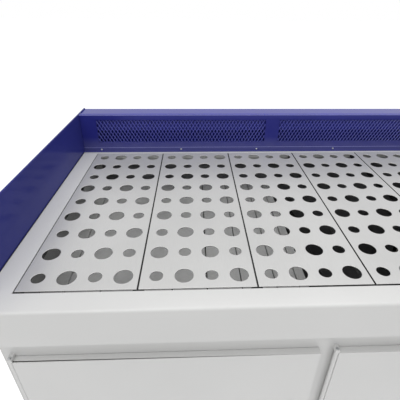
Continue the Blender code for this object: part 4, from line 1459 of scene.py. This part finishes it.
    def motor(self, name: str, side: int) -> bpy.types.Object:
        """Stand the finned motor on its foot, with its fan cowl and terminal box.

        Args:
            name: left or right.
            side: -1 or 1.

        Returns:
            The motor.
        """
        near = side * (self.middle_x + self.width / 2 + self.motor_gap)
        cowl = near + side * (self.motor_length - self.cowl)
        r, core, end = self.motor_r / MM, (self.motor_r - self.fin_depth) / MM, self.motor_length / MM
        step = end - self.cowl / MM
        body = ((24, 0), (24, 13), (0, 13), (0, 34), (5, 50), (14, r - 6), (22, r - 2), (26, core))
        body += ((step - 2, core), (step, r + 1), (step + 3, r + 4), (end - 14, r + 4), (end - 4, r))
        body += ((end, r - 12), (end, 60), (end - 2, 58), (end - 2, 48), (end, 46), (end, 0))
        parts = [turned("motor", section(near, side, body), Axis.X, self.centre, self.sides)]
        teeth = []
        # A fin's foot and tip: share of the fins' pitch to each side of its middle, and radius in mm.
        for i in range(self.fins):
            for share, out in ((-0.16, core - 1), (-0.10, r), (0.10, r), (0.16, core - 1)):
                teeth.append(self.round_place(out * MM, (i + share) * 2 * math.pi / self.fins))
        first, last = self.fin_ends
        parts.append(drawn("fins", teeth, Axis.X, near + side * first, cowl - side * last))
        first, last = self.foot_ends
        left, right = sorted((near + side * first, cowl - side * last))
        y, z = self.centre
        # Foot, terminal box and lid: inset along the shaft, half width, bottom and top, in mm.
        for inset, half, bottom, top in ((0, 70, -112, -76), (12, 42, 78, 118), (9, 45, 118, 124)):
            block = slab(
                "block",
                (left + inset * MM, y - half * MM, z + bottom * MM),
                (right - inset * MM, y + half * MM, z + top * MM),
            )
            soften(block, self.motor_edge, segments=3)
            parts.append(block)
        return join(f"motor_{name}_finned", parts)

    def build(self) -> list[bpy.types.Object]:
        """Build both sets.

        Returns:
            The housing, the wheel and the motor of each.
        """
        f = self.finishes
        made = []
        for name, side in SIDES.items():
            housing, wheel, motor = f"blower_housing_{name}", f"blower_wheel_{name}", f"motor_{name}"
            made.append(dress(self.housing(name, side), f.machine, TABLE_BODY, housing))
            made.append(dress(self.wheel(name, side), f.zinc, f"wheel_{name}", wheel))
            made.append(dress(self.motor(name, side), f.machine, TABLE_BODY, motor))
        return made


@dataclass
class DoorHardware:
    """Hinge rods with domed heads, and quarter-turn latches with a winged grip and a cam."""

    finishes: Finishes
    rod_r: float = 2.6 * MM
    rod_sides: int = 28
    rod_point: float = 1.5 * MM
    head_r: float = 4.6 * MM
    head: float = 1.5 * MM
    plate_r: float = 13.0 * MM
    grip_width: float = 10.0 * MM
    grip_reach: float = 22.0 * MM
    grip_foot: float = 6.0 * MM
    grip_taper: Point = (0.72, 1.0, 0.9)
    grip_edge: float = 2.0 * MM
    spindle_r: float = 6.0 * MM
    spindle_back: float = 13.0 * MM
    cam_half: float = 8.0 * MM
    cam_reach: float = 22.0 * MM
    cam_tail: float = 8.0 * MM
    cam_ends: Span = (3.0 * MM, 0.8 * MM)
    cam_steps: int = 8
    cam_edge: float = 0.5 * MM

    def rod(self, name: str) -> bpy.types.Object:
        """Turn one hinge rod with its domed head and its pointed foot.

        Args:
            name: left, centre or right.

        Returns:
            The rod.
        """
        node = f"hinge_rod_{name}"
        low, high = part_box(node)
        r, head, head_r = self.rod_r, self.head, self.head_r
        foot = ((low.z, 0), (low.z, r * 0.6), (low.z + self.rod_point, r), (high.z - head, r))
        dome = tuple((high.z - head * back, head_r * out) for back, out in ((1, 1), (0.6, 1), (0.2, 0.75)))
        profile = (*foot, *dome, (high.z, head_r * 0.35), (high.z, 0))
        centre = ((low.x + high.x) / 2, (low.y + high.y) / 2)
        made = turned(f"{node}_pin", profile, Axis.Z, centre, self.rod_sides)
        return dress(made, self.finishes.zinc, TABLE_BODY, node)

    def handle(self, name: str, low: Vector, high: Vector, face: float) -> bpy.types.Object:
        """Join the winged grip to the round plate behind it.

        Args:
            name: Name of the CAD latch.
            low: Lowest corner of the latch.
            high: Highest corner of the latch.
            face: The door's face.

        Returns:
            The handle.
        """
        x, z = (low.x + high.x) / 2, (low.z + high.z) / 2
        r = self.plate_r / MM
        rim = ((0.3, 0), (0.3, r), (4, r), (6, r - 1.2), (7, r - 3), (7, 0))
        plate = turned("escutcheon", section(face, -1, rim), Axis.Y, (x, z))
        half = self.grip_width / 2
        grip = slab("grip", (x - half, low.y, low.z), (x + half, face - self.grip_foot, high.z))
        select_points(grip, lambda p: p.y < low.y + NEAR)
        bpy.ops.transform.resize(value=self.grip_taper, center_override=(x, low.y, z))
        leave_edit()
        soften(grip, self.grip_edge, segments=4)
        return join(f"{name}_grip", [plate, grip])

    def spindle(self, name: str, centre: Span, face: float) -> bpy.types.Object:
        """Join the cam to the spindle that turns it behind the door.

        Args:
            name: Name of the CAD latch.
            centre: The spindle's x and z.
            face: The door's face.

        Returns:
            The spindle with its cam.
        """
        x, z = centre
        r, end = self.spindle_r / MM, self.spindle_back / MM + 1
        profile = ((-0.2, 0), (-0.2, r), (end - 0.4, r), (end, r - 1), (end, 0))
        rod = turned("spindle", section(face, 1, profile), Axis.Y, centre, self.rod_sides)
        half, top = self.cam_half, z + self.cam_tail
        bend = z - self.cam_reach + half
        outline = [(x - half, bend), (x - half, top), (x + half, top), (x + half, bend)]
        for i in range(1, self.cam_steps):
            angle = math.pi * i / self.cam_steps
            outline.append((x + half * math.cos(angle), bend - half * math.sin(angle)))
        back = face + self.spindle_back
        cam = drawn("cam", outline, Axis.Y, back - self.cam_ends[0], back + self.cam_ends[1])
        soften(cam, self.cam_edge)
        return join(f"{name}_cam", [rod, cam])

    def latch(self, name: str) -> list[bpy.types.Object]:
        """Make one latch round the spindle's axis.

        Args:
            name: left, centre or right.

        Returns:
            The moulded grip, and the plated spindle with its cam.
        """
        node = f"latch_{name}"
        low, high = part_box(node)
        door_low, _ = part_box(f"door_{name}")
        face = max(door_low.y, low.y + self.grip_reach)
        handle = self.handle(node, low, high, face)
        spindle = self.spindle(node, ((low.x + high.x) / 2, (low.z + high.z) / 2), face)
        f = self.finishes
        return [dress(handle, f.moulded, node, node), dress(spindle, f.zinc, node)]

    def build(self) -> list[bpy.types.Object]:
        """Fit the three doors.

        Returns:
            The rod, the grip and the cam of each.
        """
        made = []
        for name in ("left", "centre", "right"):
            made.append(self.rod(name))
            made += self.latch(name)
        return made


@dataclass
class Controls:
    """Two push buttons in plated rings, and the filter's pressure gauge with its printed scale."""

    finishes: Finishes
    button_r: float = 11.0 * MM
    ring_r: Span = (11.7 * MM, 15.5 * MM)
    ring_proud: float = 2.2 * MM
    dish: float = 1.0 * MM
    gauge_r: float = 34.0 * MM
    gauge_sides: int = 64
    dial_r: float = 31.0 * MM
    dial_depth: float = 4.5 * MM
    scale_r: Span = (35.5 * MM, 39.5 * MM)
    scale_half: float = 40.0
    long_tick: Span = (0.0, 0.45 * MM)
    short_tick: Span = (1.5 * MM, 0.3 * MM)
    hub_z: float = 836.4 * MM
    steps: int = 8
    print_high: float = 0.15 * MM
    digit_r: float = 30.5 * MM
    digit_size: float = 5.5 * MM

    def button(
        self, node: str, body: str, material: bpy.types.Material
    ) -> list[bpy.types.Object]:
        """Turn one dished button and the ring round it.

        Args:
            node: The CAD node of the button.
            body: Its body.
            material: Its plastic.

        Returns:
            The button and its ring.
        """
        low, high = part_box(node)
        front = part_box("top_frame")[0].y
        centre = ((low.x + high.x) / 2, (low.z + high.z) / 2)
        r, dish = self.button_r / MM, self.dish / MM
        face = ((dish, 0), (dish * 0.6, r * 0.5), (0, r * 0.85), (0.3, r * 0.95), (1.5, r))
        cap = (*section(low.y, 1, face), (high.y, self.button_r), (high.y, 0))
        inner, outer = (radius / MM for radius in self.ring_r)
        proud = self.ring_proud / MM
        rim = ((0.2, inner), (proud, inner), (proud, inner + 1), (proud / 2, outer), (0.2, outer))
        made = turned(f"{node}_cap", cap, Axis.Y, centre)
        ring = turned(f"{node}_ring", section(front, -1, rim), Axis.Y, centre)
        return [dress(made, material, body, node), dress(ring, self.finishes.zinc, TABLE_BODY)]

    def gauge(self) -> list[bpy.types.Object]:
        """Make the gauge.

        Returns:
            Its case, its dial and the printed scale.
        """
        low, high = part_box("filter_gauge")
        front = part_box("top_frame")[0].y
        centre = ((low.x + high.x) / 2, (low.z + high.z) / 2)
        r, window, dial = self.gauge_r / MM, self.dial_r / MM, front + self.dial_depth
        case = [
            *section(dial, 1, ((0.4, 0), (0.4, window))),
            *section(low.y, 1, ((1.2, window), (0, window + 1), (0, r + 2), (1.5, r + 4))),
            *section(front, -1, ((0.3, r + 5.5), (0.3, r))),
            *section(high.y, 1, ((0, r), (0, 0))),
        ]
        plate = section(dial, 1, ((0, 0), (0, window - 0.3), (0.3, window - 0.3), (0.3, 0)))
        shell = turned("gauge_case", case, Axis.Y, centre, self.gauge_sides)
        disc = turned("gauge_dial", plate, Axis.Y, centre, self.gauge_sides)
        f = self.finishes
        return [
            dress(shell, f.moulded, TABLE_BODY, "filter_gauge"),
            dress(disc, f.dial, TABLE_BODY),
            dress(self.scale(dial), f.moulded, TABLE_BODY),
        ]

    def digit(self, text: str, place: Vector, dial: float) -> bpy.types.Object:
        """Print one number.

        Args:
            text: The number.
            place: Its middle, in x and z.
            dial: Where the dial's face is.

        Returns:
            The number as a mesh.
        """
        deselect_all()
        bpy.ops.object.text_add(location=(place.x, dial, place.y), rotation=(math.pi / 2, 0, 0))
        data = bpy.context.view_layer.objects.active.data
        data.body = text
        data.size = self.digit_size
        data.align_x = "CENTER"
        data.align_y = "CENTER"
        data.extrude = self.print_high / 2
        bpy.ops.object.convert(target="MESH")
        made = named("digit")
        apply_place(made)
        merge_and_face_out(made)
        return made

    def scale(self, dial: float) -> bpy.types.Object:
        """Print the ticks and numbers on the dial round the needle's hub.

        Args:
            dial: Where the dial's face is.

        Returns:
            The joined print.
        """
        low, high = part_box("filter_gauge")
        hub = Vector(((low.x + high.x) / 2, self.hub_z))
        near, far = self.scale_r
        parts = []
        for i in range(self.steps + 1):
            angle = math.radians(-self.scale_half + 2 * self.scale_half * i / self.steps)
            across = Vector((math.cos(angle), -math.sin(angle)))
            outward = Vector((math.sin(angle), math.cos(angle)))
            inset, half = self.short_tick if i % 2 else self.long_tick
            places = ((near + inset, -half), (near + inset, half), (far, half), (far, -half))
            outline = [tuple(hub + outward * out + across * aside) for out, aside in places]
            parts.append(drawn("tick", outline, Axis.Y, dial - self.print_high, dial))
            if not i % 2:
                parts.append(self.digit(str(i), hub + outward * self.digit_r, dial))
        return join("gauge_scale", parts)

    def build(self) -> list[bpy.types.Object]:
        """Fit the controls.

        Returns:
            The buttons, their rings and the gauge.
        """
        f = self.finishes
        made = self.button("start_button", "start", f.green)
        made += self.button("stop_button", "stop", f.red)
        return made + self.gauge()


@dataclass
class Fasteners:
    """Button-head screws along the plenum's foot strip, the side walls' skirts and the cabinet's ends."""

    finishes: Finishes
    head_r: float = 4.2 * MM
    head_high: float = 2.3 * MM
    dome_curve: float = 0.8
    dome_steps: int = 5
    socket_r: float = 1.6 * MM
    socket_deep: float = 1.4 * MM
    sides: int = 18
    strip_x: tuple[float, ...] = (-1.206, -0.831, -0.469, -0.095, 0.276, 0.647, 1.018, 1.206)
    strip_z: float = 923.4 * MM
    strip_sink: float = 2.0 * MM
    end_y: tuple[float, ...] = (-0.42, -0.22, 0.0, 0.22, 0.44)
    skirt_z: float = 868.0 * MM
    skirt_sink: float = 3.0 * MM
    foot_z: float = 130.0 * MM

    def head(self, axis: Axis, across: Span, face: float, sign: int) -> bpy.types.Object:
        """Turn one domed head with its socket, standing on a face.

        Args:
            axis: Direction of the screw.
            across: Its place across that axis.
            face: Where the face is along the axis.
            sign: 1 where the head points along the axis, or -1 where it points back.

        Returns:
            The head.
        """
        r, high, socket = self.head_r, self.head_high, self.socket_r
        profile = [(face, 0), (face, r)]
        for i in range(1, self.dome_steps + 1):
            angle = i / self.dome_steps * math.pi / 2
            radius = socket + (r - socket) * math.cos(angle) ** self.dome_curve
            profile.append((face + sign * high * math.sin(angle), radius))
        bottom = face + sign * (high - self.socket_deep)
        profile += [(bottom, socket), (bottom, 0)]
        return turned("screw_head", profile, axis, across, self.sides)

    def build(self) -> list[bpy.types.Object]:
        """Set the screws.

        Returns:
            One piece for each row of screws.
        """
        f = self.finishes
        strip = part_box("plenum_foot_strip")[1].y - self.strip_sink
        heads = [self.head(Axis.Y, (x, self.strip_z), strip, -1) for x in self.strip_x]
        made = [dress(join("foot_strip_screws", heads), f.zinc, TABLE_BODY)]
        for name, side in SIDES.items():
            outer = 1 if side > 0 else 0
            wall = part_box(f"side_wall_{name}")[outer].x - side * self.skirt_sink
            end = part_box(f"cabinet_end_{name}")[outer].x
            skirt = [self.head(Axis.X, (y, self.skirt_z), wall, side) for y in self.end_y]
            foot = [self.head(Axis.X, (y, self.foot_z), end, side) for y in self.end_y]
            made.append(dress(join(f"skirt_screws_{name}", skirt), f.blue, TABLE_BODY))
            made.append(dress(join(f"end_screws_{name}", foot), f.zinc, TABLE_BODY))
        return made


# Stage


@dataclass
class Studio:
    """Floor, lamps, world and camera."""

    eye: Point = (-0.7689, -1.0508, 1.5500)
    yaw: float = 2.610
    pitch: float = 29.276
    roll: float = 0.735
    lens_mm: float = 29.83
    sensor_mm: float = 36.0
    shift: Span = (-0.0193, -0.0375)
    clip: Span = (0.05, 60.0)
    world_strength: float = 0.5
    floor_size: float = 60.0
    floor_drop: float = 0.5 * MM
    floor_roughness: float = 0.9
    floor_glow: float = 0.55
    lamp_aim: Point = (0.0, 0.0, 0.9)
    key_place: Point = (-1.6, -2.6, 3.4)
    key_size: float = 2.2
    key_watts: float = 36.0
    top_place: Point = (0.0, -0.3, 3.6)
    top_size: float = 2.6
    top_watts: float = 40.0

    def camera(self) -> None:
        """Set the camera where the photograph was taken from."""
        yaw, pitch, roll = (math.radians(a) for a in (self.yaw, self.pitch, self.roll))
        across = Vector((math.sin(yaw), math.cos(yaw), 0)) * math.cos(pitch)
        ahead = across - Vector((0, 0, math.sin(pitch)))
        level = Vector((math.cos(yaw), -math.sin(yaw), 0))
        rise = level.cross(ahead)
        right = math.cos(roll) * level + math.sin(roll) * rise
        above = -math.sin(roll) * level + math.cos(roll) * rise
        data = bpy.data.cameras.new("photo_camera")
        data.lens = self.lens_mm
        data.sensor_width = self.sensor_mm
        data.shift_x, data.shift_y = self.shift
        data.clip_start, data.clip_end = self.clip
        camera = bpy.data.objects.new("photo_camera", data)
        turn = Matrix((right, above, -ahead)).transposed()
        camera.matrix_world = Matrix.Translation(self.eye) @ turn.to_4x4()
        bpy.context.scene.collection.objects.link(camera)
        bpy.context.scene.camera = camera

    def seen_rays(self, tree: bpy.types.NodeTree) -> bpy.types.NodeSocket:
        """Tell the rays that see a thing from those that light it.

        Args:
            tree: The node tree.

        Returns:
            1 for rays from the camera, from gloss and through glass, and 0 for the light's own.
        """
        path = add_node(tree, "ShaderNodeLightPath").outputs
        seen = path["Is Camera Ray"]
        for kind in ("Is Glossy Ray", "Is Transmission Ray"):
            seen = add_node(
                tree, "ShaderNodeMath", {0: seen, 1: path[kind]}, operation="MAXIMUM"
            ).outputs["Value"]
        return seen

    def world(self) -> None:
        """Light from all round, and plain white behind the object for the camera and for gloss."""
        world = bpy.data.worlds.new("studio")
        bpy.context.scene.world = world
        world.use_nodes = True
        tree = world.node_tree
        tree.nodes.clear()
        light, plain = (
            add_node(
                tree, "ShaderNodeBackground", values={"Color": (1, 1, 1, 1), "Strength": strength}
            ).outputs["Background"]
            for strength in (self.world_strength, 1.0)
        )
        mixed = add_node(tree, "ShaderNodeMixShader", {0: self.seen_rays(tree), 1: light, 2: plain})
        add_node(tree, "ShaderNodeOutputWorld", {"Surface": mixed.outputs["Shader"]})

    def floor(self) -> None:
        """Lay the plain pale floor: white to the camera, and darker where the object's shadow lies."""
        deselect_all()
        bpy.ops.mesh.primitive_plane_add(size=self.floor_size, location=(0, 0, -self.floor_drop))
        floor = named("studio_floor")
        material = bpy.data.materials.new("pale_studio_floor")
        material.use_nodes = True
        tree = material.node_tree
        shader = tree.nodes["Principled BSDF"]
        shader.inputs["Base Color"].default_value = linear("#fafafa")
        shader.inputs["Roughness"].default_value = self.floor_roughness
        shader.inputs["Emission Color"].default_value = (1, 1, 1, 1)
        glow = add_node(
            tree, "ShaderNodeMath", {0: self.seen_rays(tree)}, {1: self.floor_glow}, operation="MULTIPLY"
        )
        tree.links.new(glow.outputs["Value"], shader.inputs["Emission Strength"])
        floor.data.materials.append(material)

    def lamp(self, name: str, place: Point, size: float, watts: float) -> None:
        """Hang one square softbox that faces the work surface.

        Args:
            name: Name of the lamp.
            place: Where it hangs.
            size: Its side, in metres.
            watts: Its power.
        """
        data = bpy.data.lights.new(name, "AREA")
        data.shape = "SQUARE"
        data.size = size
        data.energy = watts
        lamp = bpy.data.objects.new(name, data)
        lamp.location = place
        ahead = Vector(self.lamp_aim) - Vector(place)
        lamp.rotation_euler = ahead.to_track_quat("-Z", "Y").to_euler()
        bpy.context.scene.collection.objects.link(lamp)

    def build(self) -> None:
        """Set the stage: camera, world, floor and both softboxes."""
        self.camera()
        self.world()
        self.floor()
        self.lamp("key_softbox", self.key_place, self.key_size, self.key_watts)
        self.lamp("top_softbox", self.top_place, self.top_size, self.top_watts)


def main() -> None:
    """Load the frame, build every part in order and report each one."""
    logging.basicConfig(level=logging.INFO, format="%(name)s: %(message)s")
    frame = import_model()
    LOG.info("frame with %d nodes", len(frame["nodes"]))
    bpy.context.scene.view_settings.view_transform = "Standard"
    finishes = Finishes()
    for part in (
        SheetWork(finishes),
        WorkPanels(finishes),
        ExpandedMesh(finishes),
        Sealant(finishes),
        AirChamber(finishes),
        Filters(finishes),
        FanSets(finishes),
        DoorHardware(finishes),
        Controls(finishes),
        Fasteners(finishes),
    ):
        for piece in part.build():
            LOG.info("%s: %d faces", piece.name, len(piece.data.polygons))
    Studio().build()


if __name__ == "__main__":
    main()
